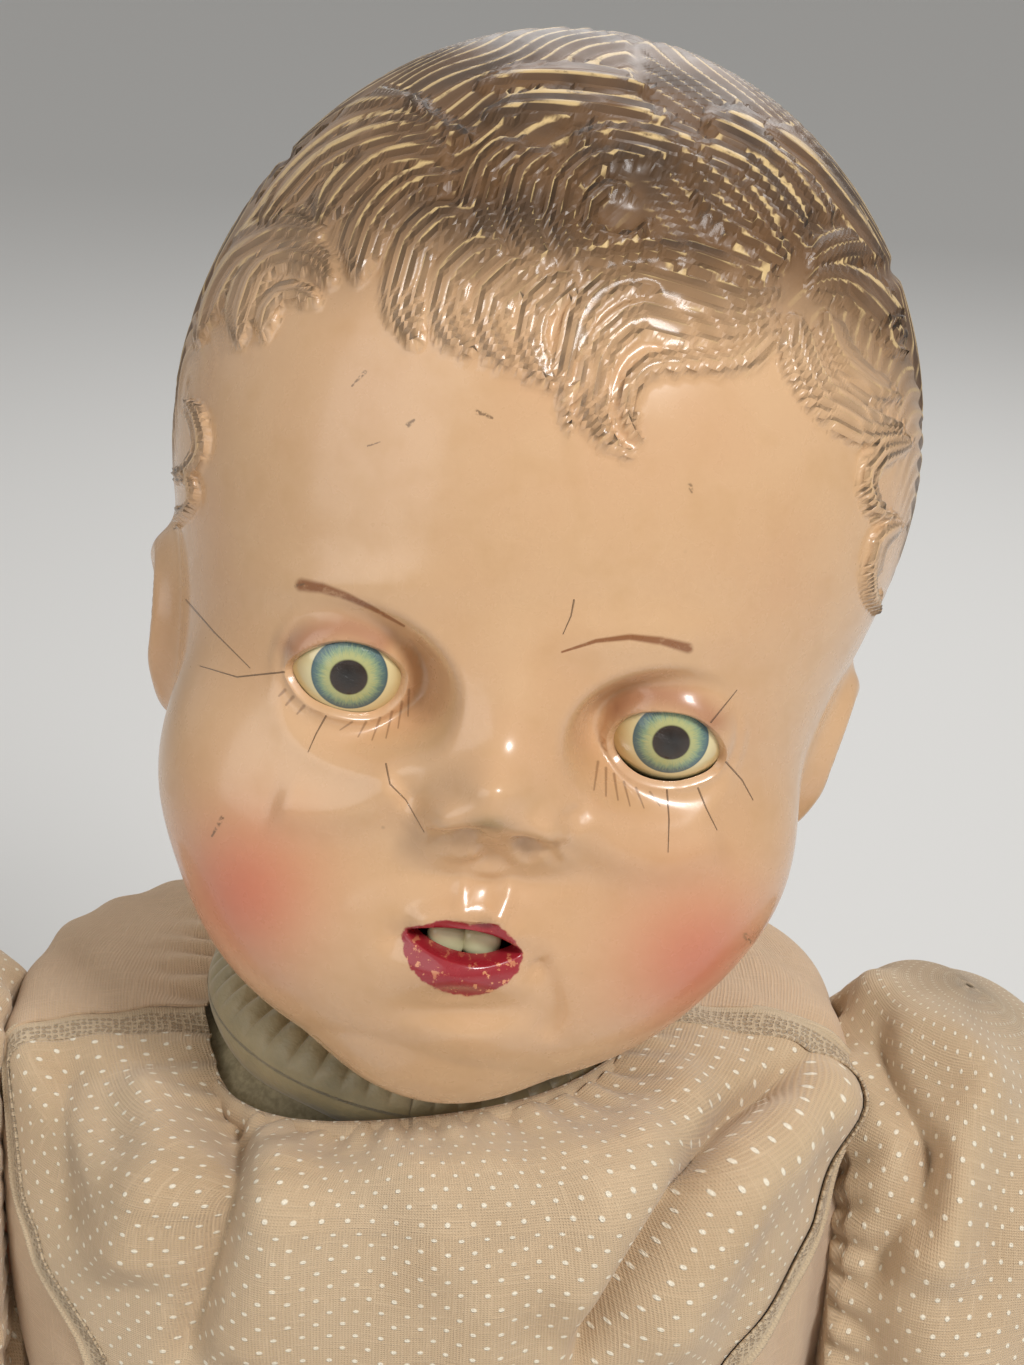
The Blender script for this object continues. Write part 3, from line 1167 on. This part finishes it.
def bodice_patch(from_angle, to_angle, columns):
    """A part of the bodice: rows from neckline to waist, columns between two angles from straight ahead."""
    share = np.linspace(0, 1, PANEL_ROWS)
    spot = share * (len(LEVEL_HEIGHTS) - 1)
    where = np.arange(len(LEVEL_HEIGHTS))
    dense = np.linspace(0, len(where) - 1, 400)
    curve = curve_through(np.column_stack([LEVEL_HEIGHTS, LEVEL_WIDTHS, LEVEL_DEPTHS]), 400)
    z, width, depth = (np.interp(spot, dense, curve[:, k]) for k in range(3))
    start = from_angle(z, width) if callable(from_angle) else np.full(PANEL_ROWS, from_angle)
    end = to_angle(z, width) if callable(to_angle) else np.full(PANEL_ROWS, to_angle)
    turn = column_between(start, end, columns)
    x, y = width[:, None] * np.sin(turn), -depth[:, None] * np.cos(turn)
    round_out = 1 + 0.035 * np.sin(2 * turn) ** 2
    y = y - 4.2 * smooth(0.55, 0.95, -np.cos(turn)) * smooth(216, 200, z[:, None])
    shoulder = 12.0 * bell(z[:, None] - 207, 12) * smooth(0.3, 0.85, np.abs(np.sin(turn)))
    shoulder = shoulder * smooth(0.75, 0.1, np.cos(turn))
    dip = neck_dip(turn) * smooth(196, 219, z[:, None])
    points = as_points(x * round_out, y * round_out, z[:, None] + shoulder - dip)
    lean = np.gradient(-width, z)[:, None] * 0.012
    normals = as_points(np.sin(turn) / width[:, None], -np.cos(turn) / depth[:, None], lean)
    normals = unit(normals)
    flat_turn = turn.ravel()
    near_neck = np.repeat(1 - smooth(0.02, 0.2, share), columns)
    near_waist = np.repeat(smooth(0.82, 1.0, share), columns)
    gather = 0.8 * np.sin(flat_turn * 44 + 1.5 * np.sin(flat_turn * 7)) * near_neck
    gather += 0.9 * np.sin(flat_turn * 36 + np.sin(flat_turn * 5)) * near_waist
    steps = np.linalg.norm(np.diff(points.reshape(PANEL_ROWS, columns, 3), axis=0), axis=2)
    down = np.concatenate([[0], np.cumsum(steps.mean(axis=1))])
    uv = np.column_stack([flat_turn * 68.0 * MM, np.repeat(down, columns) * MM])
    return points + normals * (cloth_folds(points, normals) + gather)[:, None], uv


def insertion_edge(z, width, extra=0.0):
    """The angle of the line where the front panel meets its openwork strip."""
    half = np.interp(z, (112.0, 150.0, 170.0, 190.0, 222.0), (38.0, 44.0, 53.0, 70.0, 80.0))
    return np.arcsin(np.clip(half / (width * 1.03), 0, 0.96)) + extra / width


INSERTION = 5.5  # the openwork strip's width
STRIP_OVERLAP = 0.9  # how far the strip runs past both its seams


def strip_outer(z, width):
    """The angle of the openwork strip's outer edge."""
    return insertion_edge(z, width, INSERTION)


def front_right_edge(z, width):
    """The angle of the front panel's edge at the doll's right."""
    return -insertion_edge(z, width)


def back_right_edge(z, width):
    """The angle of the back's edge at the doll's right, counted on round the back."""
    return 2 * math.pi - strip_outer(z, width)


def build_bodice():
    """Front, openwork strips, back and folded neck edge of the dress. Gives its two cloths."""
    dotted = make_cloth("dotted_swiss", linear(212, 186, 152), linear(182, 150, 112), dots=True)
    plain = make_cloth("plain_lawn", linear(214, 184, 150), linear(184, 150, 116))
    openwork = make_cloth("openwork", linear(212, 190, 158), linear(188, 160, 124), holes=True)
    columns = 260
    points, uv = bodice_patch(front_right_edge, insertion_edge, columns)
    cloth_piece("front_of_bodice", points, grid_faces(PANEL_ROWS, columns), uv, "torso",
                ("dress_front_panel",), dotted)
    for name, sign in (("left", 1), ("right", -1)):
        columns = 24

        def near_edge(z, width, sign=sign):
            return sign * (insertion_edge(z, width) - STRIP_OVERLAP / width)

        def far_edge(z, width, sign=sign):
            return sign * (strip_outer(z, width) + STRIP_OVERLAP / width)
        points, uv = bodice_patch(near_edge, far_edge, columns)
        across = np.tile(np.linspace(0, 1, columns), PANEL_ROWS)
        cord = bell(across - 0.03, 0.07) + bell(across - 0.97, 0.07) + 0.6 * bell(across - 0.2, 0.05)
        out = points - np.array([0, 0, 160.0])
        out[:, 2] = 0
        out = unit(out)
        piece = cloth_piece(name + "_openwork_strip", points + out * (0.45 + 0.7 * cord)[:, None],
                            grid_faces(PANEL_ROWS, columns), uv, "torso", (name + "_lace_insertion",),
                            openwork)
        store(piece, "across", across)
    columns = 420
    points, uv = bodice_patch(strip_outer, back_right_edge, columns)
    cloth_piece("back_of_bodice", points, grid_faces(PANEL_ROWS, columns), uv, "torso",
                ("dress_back_panel",), plain)
    rows, columns = 12, 300
    turn = full_turn(columns)
    fold = np.linspace(0, math.pi * 1.5, rows)
    ring = []
    for angle in fold:
        grow, up = 1.3 * math.sin(angle), 2.4 * math.cos(angle)
        ripple = 0.5 * np.sin(turn * 40 + np.sin(turn * 9))
        wide = grow + ripple * 0.4 + 0.2 * neck_dip(turn)
        ring.append(np.column_stack([(39.3 + wide) * np.sin(turn), -(38.6 + wide) * np.cos(turn),
                                     217.0 + up + ripple * 0.3 - neck_dip(turn)]))
    points = np.vstack(ring)
    uv = np.column_stack([np.tile(turn * 39 * MM, rows), np.repeat(fold * 2 * MM, columns)])
    cloth_piece("neck_edge", points, grid_faces(rows, columns, wrap_columns=True), uv, "torso",
                ("dress_neckband",), dotted)
    return dotted, plain


def build_skirt(dotted):
    """A gathered skirt: over the lap as a height for each distance ahead, then down to its hem."""
    rows, columns = 220, 640
    turn = full_turn(columns)
    cos, sin = np.cos(turn), np.sin(turn)
    square = (np.abs(cos) ** 8 + np.abs(sin) ** 8) ** (-1 / 8)
    hem = np.column_stack([76 * square * sin, -43 - 113 * square * cos])
    edge = np.column_stack([66 * square * sin, -43 - 104 * square * cos])
    waist = np.column_stack([70 * sin, -54.5 * cos])
    share = np.linspace(0, 1, rows)[:, None, None]
    over = smooth(0, 1, np.clip(share / 0.5, 0, 1)) * 0.35 + np.clip(share / 0.5, 0, 1) * 0.65
    drop = np.clip((share - 0.5) / 0.5, 0, 1)
    plan = waist[None] * (1 - over) + edge[None] * over
    plan = plan + (hem - edge)[None] * np.sin(np.minimum(drop * 3.2, 1) * math.pi / 2)
    x, y = plan[..., 0], plan[..., 1]
    top = np.interp(y, (-156, -144, -112, -86, -66, -54), (65, 68, 70, 74, 101, 106))
    top = top - 7.5 * bell(x, 15) * smooth(70, 100, -y) - 5 * smooth(48, 72, np.abs(x))
    opening = smooth(112, 140, -hem[:, 1]) * (1 - smooth(60, 73, np.abs(hem[:, 0])))
    lowest = 1.5 + 58 * opening
    drop, over = drop[..., 0], over[..., 0]
    z = top * (1 - drop) + lowest[None] * drop + 6 * np.maximum(0, 1 - over * 5)
    points = as_points(x, y, z)
    normals = ring_normals(points, rows, columns)
    centre = np.array([0, -40, 40.0])
    normals *= np.sign((normals * (points - centre)).sum(1))[:, None]
    rise = np.repeat(share.ravel(), columns)
    wide = np.tile(turn, rows)
    flute = np.sin(wide * 58 + 2.0 * np.sin(wide * 9)) * 1.3
    flute = flute * smooth(0, 0.05, rise) * (1 - smooth(0.1, 0.55, rise))
    flute += np.sin(wide * 23 + 1.6 * np.sin(wide * 6 + 1)) * 2.6 * smooth(0.35, 1.0, rise)
    flute += np.sin(wide * 11 + 2.0 * np.sin(wide * 4)) * 1.4 * smooth(0.1, 0.7, rise)
    aside, ahead, high = points.T
    flute += 0.5 * np.sin(aside * 0.33 + 2 * np.sin(ahead * 0.07)) * np.sin(ahead * 0.11 + high * 0.1)
    points = points + normals * flute[:, None]
    points[:, 2] = np.maximum(points[:, 2], 1.0)
    uv = np.column_stack([wide * 95 * MM, rise * 190 * MM])
    cloth_piece("gathered_skirt", points, grid_faces(rows, columns, wrap_columns=True), uv, "torso",
                ("dress_skirt",), dotted)


def build_sleeves(dotted):
    """Full sleeves: a puff over each shoulder, gathered into the armhole and into a band."""
    rows, columns = 150, 300
    polar, turn = np.meshgrid(np.linspace(0.02, 2.42, rows), full_turn(columns), indexing="ij")
    for name, side in (("left", 1), ("right", -1)):
        ball = as_points(np.sin(polar) * np.cos(turn), np.sin(polar) * np.sin(turn), np.cos(polar))
        points = np.array([98.0, 0, 168.0]) + ball * np.array([35.0, 35.5, 51.0])
        points[:, 2] += 9.0 * smooth(118, 74, points[:, 0]) * smooth(170, 208, points[:, 2])
        flat_polar, flat_turn = polar.ravel(), turn.ravel()
        inner_side = smooth(84, 74, points[:, 0])
        gather = 1.5 * np.sin(flat_turn * 26 + 1.4 * np.sin(flat_turn * 5)) * smooth(1.5, 2.4, flat_polar)
        gather += 1.0 * np.sin(np.arctan2(points[:, 2] - 176, points[:, 1]) * 24) * inner_side
        swell = np.sin(flat_turn * 7 + 2.2 * np.sin(flat_polar * 2.1) + side)
        gather += 1.8 * swell * smooth(0.5, 1.4, flat_polar)
        points[:, 0] = np.maximum(points[:, 0], 75.5)
        to_band = smooth(1.75, 2.42, flat_polar)[:, None]
        band = as_points(97 + 21.4 * np.cos(flat_turn), -5 + 21.4 * np.sin(flat_turn), 124.5)
        points = points * (1 - to_band) + band * to_band
        gather *= 1 - 0.75 * smooth(2.25, 2.42, flat_polar)
        points[:, 0] *= side
        ball[:, 0] *= side
        points = points + ball * (gather + cloth_folds(points, ball))[:, None]
        points[:, 0] = side * np.maximum(side * points[:, 0], 74.8)
        uv = np.column_stack([flat_turn * 34 * MM, flat_polar * 46 * MM])
        faces = grid_faces(rows, columns, wrap_columns=True)
        cloth_piece(name + "_puff_sleeve", points, faces, uv, name + "_arm_body", (name + "_sleeve",), dotted)


def tube(path, across, deep, side_axis, rows=90, columns=64):
    """A closed limb round a path: across and deep are its half sizes along side_axis and square to it."""
    centre = curve_through(path, rows)
    sizes = curve_through(np.column_stack([across, deep]), rows)
    ahead = np.gradient(centre, axis=0)
    ahead = unit(ahead)
    side = np.asarray(side_axis, float) - ahead * (ahead @ np.asarray(side_axis, float))[:, None]
    side = unit(side)
    other = np.cross(ahead, side)
    turn = full_turn(columns)
    ring = side[:, None] * np.cos(turn)[None, :, None] * sizes[:, 0, None, None]
    ring = ring + other[:, None] * np.sin(turn)[None, :, None] * sizes[:, 1, None, None]
    points = (centre[:, None] + ring).reshape(-1, 3)
    return points, capped(grid_faces(rows, columns, wrap_columns=True), rows, columns)


def rounded_ends(path, across, deep, cap=0.9):
    """Adds shrinking rings at both ends so that a limb ends in a dome."""
    path, across, deep = (np.asarray(v, float) for v in (path, across, deep))
    first = (path[0] - path[1]) / np.linalg.norm(path[0] - path[1])
    last = (path[-1] - path[-2]) / np.linalg.norm(path[-1] - path[-2])
    reach_first, reach_last = cap * min(across[0], deep[0]), cap * min(across[-1], deep[-1])
    path = np.vstack([path[0] + first * reach_first, path[0] + first * 0.7 * reach_first, path,
                      path[-1] + last * 0.7 * reach_last, path[-1] + last * reach_last])
    grown = [np.concatenate([[0.1 * v[0], 0.74 * v[0]], v, [0.74 * v[-1], 0.1 * v[-1]]])
             for v in (across, deep)]
    return path, grown[0], grown[1]


def limb(path, across, deep, side_axis=(1, 0, 0), rows=90, columns=64):
    """A closed limb with a dome at both ends."""
    return tube(*rounded_ends(path, across, deep), side_axis, rows, columns)


def make_limb_skin():
    """Old painted composition: pink, rubbed at its high places, with hair cracks under a dull varnish."""
    material, s = new_material("limb_composition", Roughness=0.34, Coat_Weight=0.5, Coat_Roughness=0.12,
                               Subsurface_Weight=0.05, Subsurface_Scale=0.002)
    place = s.coordinates()
    grime = s.group(GRIME, Vector=place)
    colour = s.mix(grime["Cloud"], linear(218, 162, 128), linear(204, 140, 104))
    colour = s.mix(s.times(grime["Specks"], 0.6), colour, linear(110, 70, 44))
    cells = s.node("ShaderNodeTexVoronoi", feature="DISTANCE_TO_EDGE")
    s.join(place, cells.inputs["Vector"])
    s.join(52.0, cells.inputs["Scale"])
    crack = s.times(s.ramp(cells.outputs["Distance"], 0.0, 0.012, 1.0, 0.0),
                   s.ramp(s.noise(place, 26.0), 0.55, 0.62))
    colour = s.mix(s.times(crack, 0.7), colour, linear(104, 66, 42))
    s.cover(colour, s.bump(s.minus(s.noise(place, 160.0), crack), 0.0002))
    return material


# The limbs: the middle of each section in millimetres, and its half sizes across and deep.
ARM_PATH = ((90, 0, 172), (94, -1, 146), (97, -4, 112), (97, -6, 98), (96, -13, 80), (93, -24, 58),
            (92, -26, 53), (92, -30, 43), (92, -32, 30))
ARM_ACROSS = (16, 17.4, 15.4, 14.2, 14.4, 10.4, 8.8, 10.6, 9.0)
ARM_DEEP = (16, 17.4, 15.4, 14.2, 14.0, 10.2, 8.4, 7.6, 5.6)
THUMB_PATH = ((85, -32, 44), (82.5, -38, 40), (82, -44, 36))
LEG_PATH = ((33, -95, 30), (33, -112, 31), (33, -130, 30), (33, -142, 29.5), (33, -160, 29), (33, -182, 28.5),
            (33, -204, 29), (33, -216, 29))
LEG_ACROSS = (21.4, 20.8, 18.6, 18.0, 20.4, 18, 12.8, 12.6)
LEG_DEEP = (21.4, 20.8, 18.6, 18.0, 20.6, 18, 12.8, 12.6)
FOOT_PATH = ((33, -224, 12), (33, -224, 24), (33, -226, 42), (33, -229, 58))
FOOT_ACROSS, FOOT_DEEP = (11, 12.5, 14.2, 15.2), (12.5, 13.5, 11, 7.5)
TOES = ((23.0, 4.6, 66), (30.4, 3.6, 67), (36.4, 3.3, 66), (41.6, 3.1, 64), (46.2, 2.8, 61))  # x, size, top
THIGH_PATH = ((33, -30, 30), (33, -46, 30), (33, -66, 30), (33, -82, 30), (33, -91, 30))
THIGH_SIZES = (27.5, 28, 26.5, 24.5, 22.6)


def build_arms(skin):
    """Both composition arms with their shoulder ball, hand and fingers."""
    for name, side in (("left", 1), ("right", -1)):
        flip = np.array([side, 1.0, 1.0])
        shapes = [limb(ARM_PATH, ARM_ACROSS, ARM_DEEP, rows=160)]
        ball = ball_grid(48, 64) * 20 + np.array([84.0, 0, 176.0])
        ball[:, 0] = np.maximum(ball[:, 0], 65.3)
        shapes.append((ball, capped(grid_faces(48, 64, wrap_columns=True), 48, 64)))
        for number in range(4):
            x = 92 + (number - 1.5) * 4.9
            finger = ((x, -31.5, 34), (x, -33, 25 + 0.8 * (number in (1, 2))), (x, -36, 17))
            shapes.append(limb(finger, (3.5, 3.5, 2.8), (3.5, 3.4, 2.8), rows=28, columns=28))
        shapes.append(limb(THUMB_PATH, (3.6, 3.6, 2.9), (4.2, 3.8, 2.9), rows=28, columns=28))
        points, faces = merged(shapes)
        piece = new_piece(name + "_arm_form", points * flip, faces, name + "_arm_body", (name + "_arm",),
                          skin)


def build_legs(skin, thigh_cloth):
    """Both composition legs with their foot and toes, and their stuffed thighs."""
    for name, side in (("left", 1), ("right", -1)):
        flip = np.array([side, 1.0, 1.0])
        shapes = [limb(LEG_PATH, LEG_ACROSS, LEG_DEEP, rows=160),
                  limb(FOOT_PATH, FOOT_ACROSS, FOOT_DEEP, rows=90)]
        for x, size, top in TOES:
            toe = ((x, -229, top - 7), (x, -230, top))
            shapes.append(limb(toe, (size, size), (size, size), rows=24, columns=28))
        points, faces = merged(shapes)
        piece = new_piece(name + "_leg_form", points * flip, faces, name + "_leg_body", (name + "_leg",),
                          skin)
        points, faces = limb(THIGH_PATH, THIGH_SIZES, THIGH_SIZES, rows=120, columns=220)
        out = points - np.array([33.0, 0, 30.0])
        turn = np.arctan2(out[:, 0], out[:, 2])
        out[:, 1] = 0
        out = unit(out, 1e-9)
        points = points + out * (0.8 * np.sin(turn * 30) * smooth(70, 92, -points[:, 1]) - 0.4)[:, None]
        piece = new_piece(name + "_stuffed_thigh", points * flip, faces, name + "_leg_body",
                          (name + "_thigh_cloth",), thigh_cloth)


STITCHES = 26
STITCH_LINE = ((20.6, 1.5), (22.5, 3.0), (25.5, 3.9), (28.5, 3.6), (30.0, 2.3))  # out from the neck, height


def build_neck():
    """The stuffed neck roll of dull satin, drawn up to the composition flange with white thread."""
    material, s = new_material("neck_satin", Roughness=0.42, Sheen_Weight=0.3, Anisotropic=0.4)
    place = s.coordinates()
    streak = s.flat()
    cloud = s.group(GRIME, Vector=place)["Cloud"]
    threads = s.noise(streak, 500.0, 3.0)
    colour = s.mix(cloud, linear(160, 146, 110), linear(118, 112, 84))
    colour = s.mix(s.times(threads, 0.35), colour, linear(186, 158, 112))
    s.cover(colour, s.bump(threads, 0.0003))
    rows, columns = 90, 900
    around, turn = np.meshgrid(full_turn(rows), full_turn(columns), indexing="ij")
    inward = smooth(-0.2, 1.0, -np.cos(around))
    high = smooth(0.0, 1.0, np.sin(around))
    pleat = np.abs(np.sin(turn * 26 + 0.8 * np.sin(turn * 5)))
    soft = 0.4 * np.sin(turn * 9) * np.sin(around)
    tube_radius = 8.4 - 1.9 * (1 - pleat ** 0.6) * np.maximum(high, inward) + soft
    ring = 28.0 + 3.0 * bell(np.angle(np.exp(1j * (turn + 1.1))), 0.9) + tube_radius * np.cos(around)
    points = as_points(ring * np.sin(turn), -ring * np.cos(turn), -5.0 + tube_radius * np.sin(around))
    faces = grid_faces(rows, columns, wrap_rows=True, wrap_columns=True)
    roll = new_piece("neck_roll", head_to_world(points), faces, "torso", ("neck_casing",), material)
    store_uv(roll, np.column_stack([(turn.ravel() * 28) * MM, around.ravel() * 8 * MM]))

    thread, _ = new_material("white_thread", Roughness=0.7, Base_Color=linear(222, 214, 192))
    shapes = []
    for number in range(STITCHES):
        angle = (number + 0.5) * 2 * math.pi / STITCHES
        lean = 0.05 * math.sin(number * 2.3)
        stitch = []
        for step, (out, height) in enumerate(STITCH_LINE):
            a = angle + lean + 0.035 * step
            stitch.append((out * math.sin(a), -out * math.cos(a), height))
        shapes.append(limb(stitch, (0.5,) * 5, (0.5,) * 5, (0, 0, 1), rows=26, columns=10))
    points, faces = merged(shapes)
    stitches = new_piece("neck_stitches", head_to_world(points), faces, "torso", ("neck_tie_cord",), thread)


def build_flange(skin):
    """The composition neck below the head, with the rim that the cloth is tied over."""
    outline = np.array(((20.0, 26.0), (20.0, 4.0), (19.6, -6.0), (20.2, -8.0), (25.6, -8.6), (26.0, -10.0),
                        (25.6, -11.6), (20.0, -12.0), (16.4, -12.0), (16.0, -10.0), (16.0, 26.0)))
    rows, columns = 90, 128
    line = curve_through(outline, rows)
    turn = full_turn(columns)
    points = as_points(line[:, None, 0] * np.cos(turn), line[:, None, 0] * np.sin(turn), line[:, None, 1])
    faces = grid_faces(rows, columns, wrap_rows=True, wrap_columns=True)
    piece = new_piece("flange_neck", head_to_world(points), faces, "head", (), skin)


def simple_material(name, light, dark, scale, depth, **surface):
    """A two-tone material with cloudy variation and fine relief."""
    material, s = new_material(name, **surface)
    place = s.coordinates()
    grain = s.noise(place, scale, 5.0, 0.6)
    s.cover(s.mix(s.ramp(grain, 0.3, 0.7), light, dark), s.bump(grain, depth))
    return material


# Material, light and dark tone, grain, relief in metres, surface values, and the CAD pieces that show it.
CAD_LOOKS = (
    ("dull_steel", (150, 146, 138), (110, 100, 88), 400.0, 0.00005, {"Metallic": 1.0, "Roughness": 0.38},
     ("eye_axle", "eye_pendulum_arm", "left_shoulder_pin", "right_shoulder_pin", "left_shoulder_washer",
      "right_shoulder_washer")),
    ("dull_lead", (112, 112, 116), (82, 82, 84), 200.0, 0.0002, {"Metallic": 0.8, "Roughness": 0.6},
     ("eye_lead_weight", "crier_weight")),
    ("plaster", (222, 214, 196), (196, 184, 162), 300.0, 0.0002, {"Roughness": 0.9},
     ("left_eye_plaster", "right_eye_plaster")),
    ("body_sateen", (176, 160, 124), (146, 132, 98), 900.0, 0.0002, {"Roughness": 0.7, "Sheen_Weight": 0.2},
     ("torso_front_cloth", "torso_back_cloth")),
    ("cotton_wadding", (214, 204, 180), (184, 172, 146), 140.0, 0.001, {"Roughness": 1.0},
     ("torso_stuffing",)),
    ("pressed_card", (170, 136, 96), (136, 104, 70), 700.0, 0.0002, {"Roughness": 0.85},
     ("crier_case", "crier_bottom_cap", "crier_top_cap", "crier_reed_plate")),
    ("kid_leather", (182, 152, 112), (150, 120, 84), 500.0, 0.0002, {"Roughness": 0.6}, ("crier_bellows",)),
    ("vulcanised_fibre", (112, 70, 46), (80, 48, 32), 400.0, 0.0002, {"Roughness": 0.55},
     ("left_shoulder_disc", "right_shoulder_disc")),
    ("shell_buttons", (226, 220, 204), (196, 190, 176), 160.0, 0.00005,
     {"Roughness": 0.2, "Coat_Weight": 0.5},
     ("back_buttons",)),
    ("cotton_cord", (220, 212, 188), (176, 164, 136), 1500.0, 0.0004, {"Roughness": 0.9},
     ("left_leg_tie_cord", "right_leg_tie_cord")),
)


def show_in(material, names):
    """Gives CAD pieces a material in every slot."""
    for name in names:
        node = bpy.data.objects[name]
        for slot in node.material_slots:
            slot.material = material
        if not node.material_slots:
            node.data.materials.append(material)


def dress_cad_nodes(plain):
    """Gives each CAD piece that shows as it is a material of its own. Gives back the body's cloth."""
    made = {}
    for name, light, dark, grain, depth, surface, names in CAD_LOOKS:
        made[name] = simple_material(name, linear(*light), linear(*dark), grain, depth, **surface)
        show_in(made[name], names)
    show_in(plain, ("left_sleeve_band", "right_sleeve_band", "dress_waistband"))
    return made["body_sateen"]


WORLD_LIGHT, BACKGROUND_LIGHT = 0.36, 0.85


LAMPS = (  # name, place and size in metres, watts
    ("key", (0.42, -0.62, 0.92), 0.22, 6.5), ("fill", (-0.9, -0.7, 0.6), 0.9, 3.2),
    ("back", (0.2, 0.9, 0.9), 0.8, 4.5),
)


def make_camera():
    """The photograph's camera."""
    right, up, forward = camera_axes()
    place = (CAMERA_TARGET - forward * CAMERA_DISTANCE) * MM
    camera = bpy.data.objects.new("photo_camera", bpy.data.cameras.new("photo_camera"))
    bpy.context.scene.collection.objects.link(camera)
    camera.matrix_world = Matrix((
        (right[0], up[0], -forward[0], place[0]), (right[1], up[1], -forward[1], place[1]),
        (right[2], up[2], -forward[2], place[2]), (0, 0, 0, 1)))
    camera.data.sensor_fit = "HORIZONTAL"
    camera.data.sensor_width = SENSOR_MM
    camera.data.lens = FOCAL_PX / PHOTO_WIDTH * SENSOR_MM
    camera.data.clip_start = 0.01
    bpy.context.scene.camera = camera


def make_stage():
    """A pale floor, soft studio lamps and a plain world."""
    reach = 20000
    corners = [(-reach, -reach, 0), (reach, -reach, 0), (reach, reach, 0), (-reach, reach, 0)]
    pale, _ = new_material("floor", Base_Color=(0.8, 0.79, 0.77, 1), Roughness=0.8)
    floor = new_piece("floor", corners, [(0, 1, 2, 3)], None, (), pale)
    for name, at, size, power in LAMPS:
        lamp = bpy.data.objects.new(name, bpy.data.lights.new(name, "AREA"))
        lamp.data.size, lamp.data.energy = size, power
        lamp.location = at
        lamp.rotation_euler = (Vector((0, 0, 0.25)) - lamp.location).to_track_quat("-Z", "Y").to_euler()
        bpy.context.scene.collection.objects.link(lamp)
    world = bpy.data.worlds.new("studio")
    world.use_nodes = True
    world.node_tree.nodes["Background"].inputs["Color"].default_value = (0.95, 0.94, 0.92, 1)
    light = Shader(world.node_tree)
    path = light.node("ShaderNodeLightPath").outputs
    seen = light.math("MAXIMUM", path["Is Camera Ray"], light.times(path["Is Glossy Ray"], 0.4))
    light.join(light.ramp(seen, 0.0, 1.0, WORLD_LIGHT, BACKGROUND_LIGHT),
               world.node_tree.nodes["Background"].inputs["Strength"])
    bpy.context.scene.world = world
    bpy.context.scene.view_settings.view_transform = "Standard"


make_camera()
make_stage()
head_skin = build_head()
build_eyes()
build_mouth()
limb_skin = make_limb_skin()
build_flange(head_skin)
build_neck()
dotted_cloth, plain_cloth = build_bodice()
build_skirt(dotted_cloth)
build_sleeves(dotted_cloth)
body_cloth = dress_cad_nodes(plain_cloth)
build_arms(limb_skin)
build_legs(limb_skin, body_cloth)
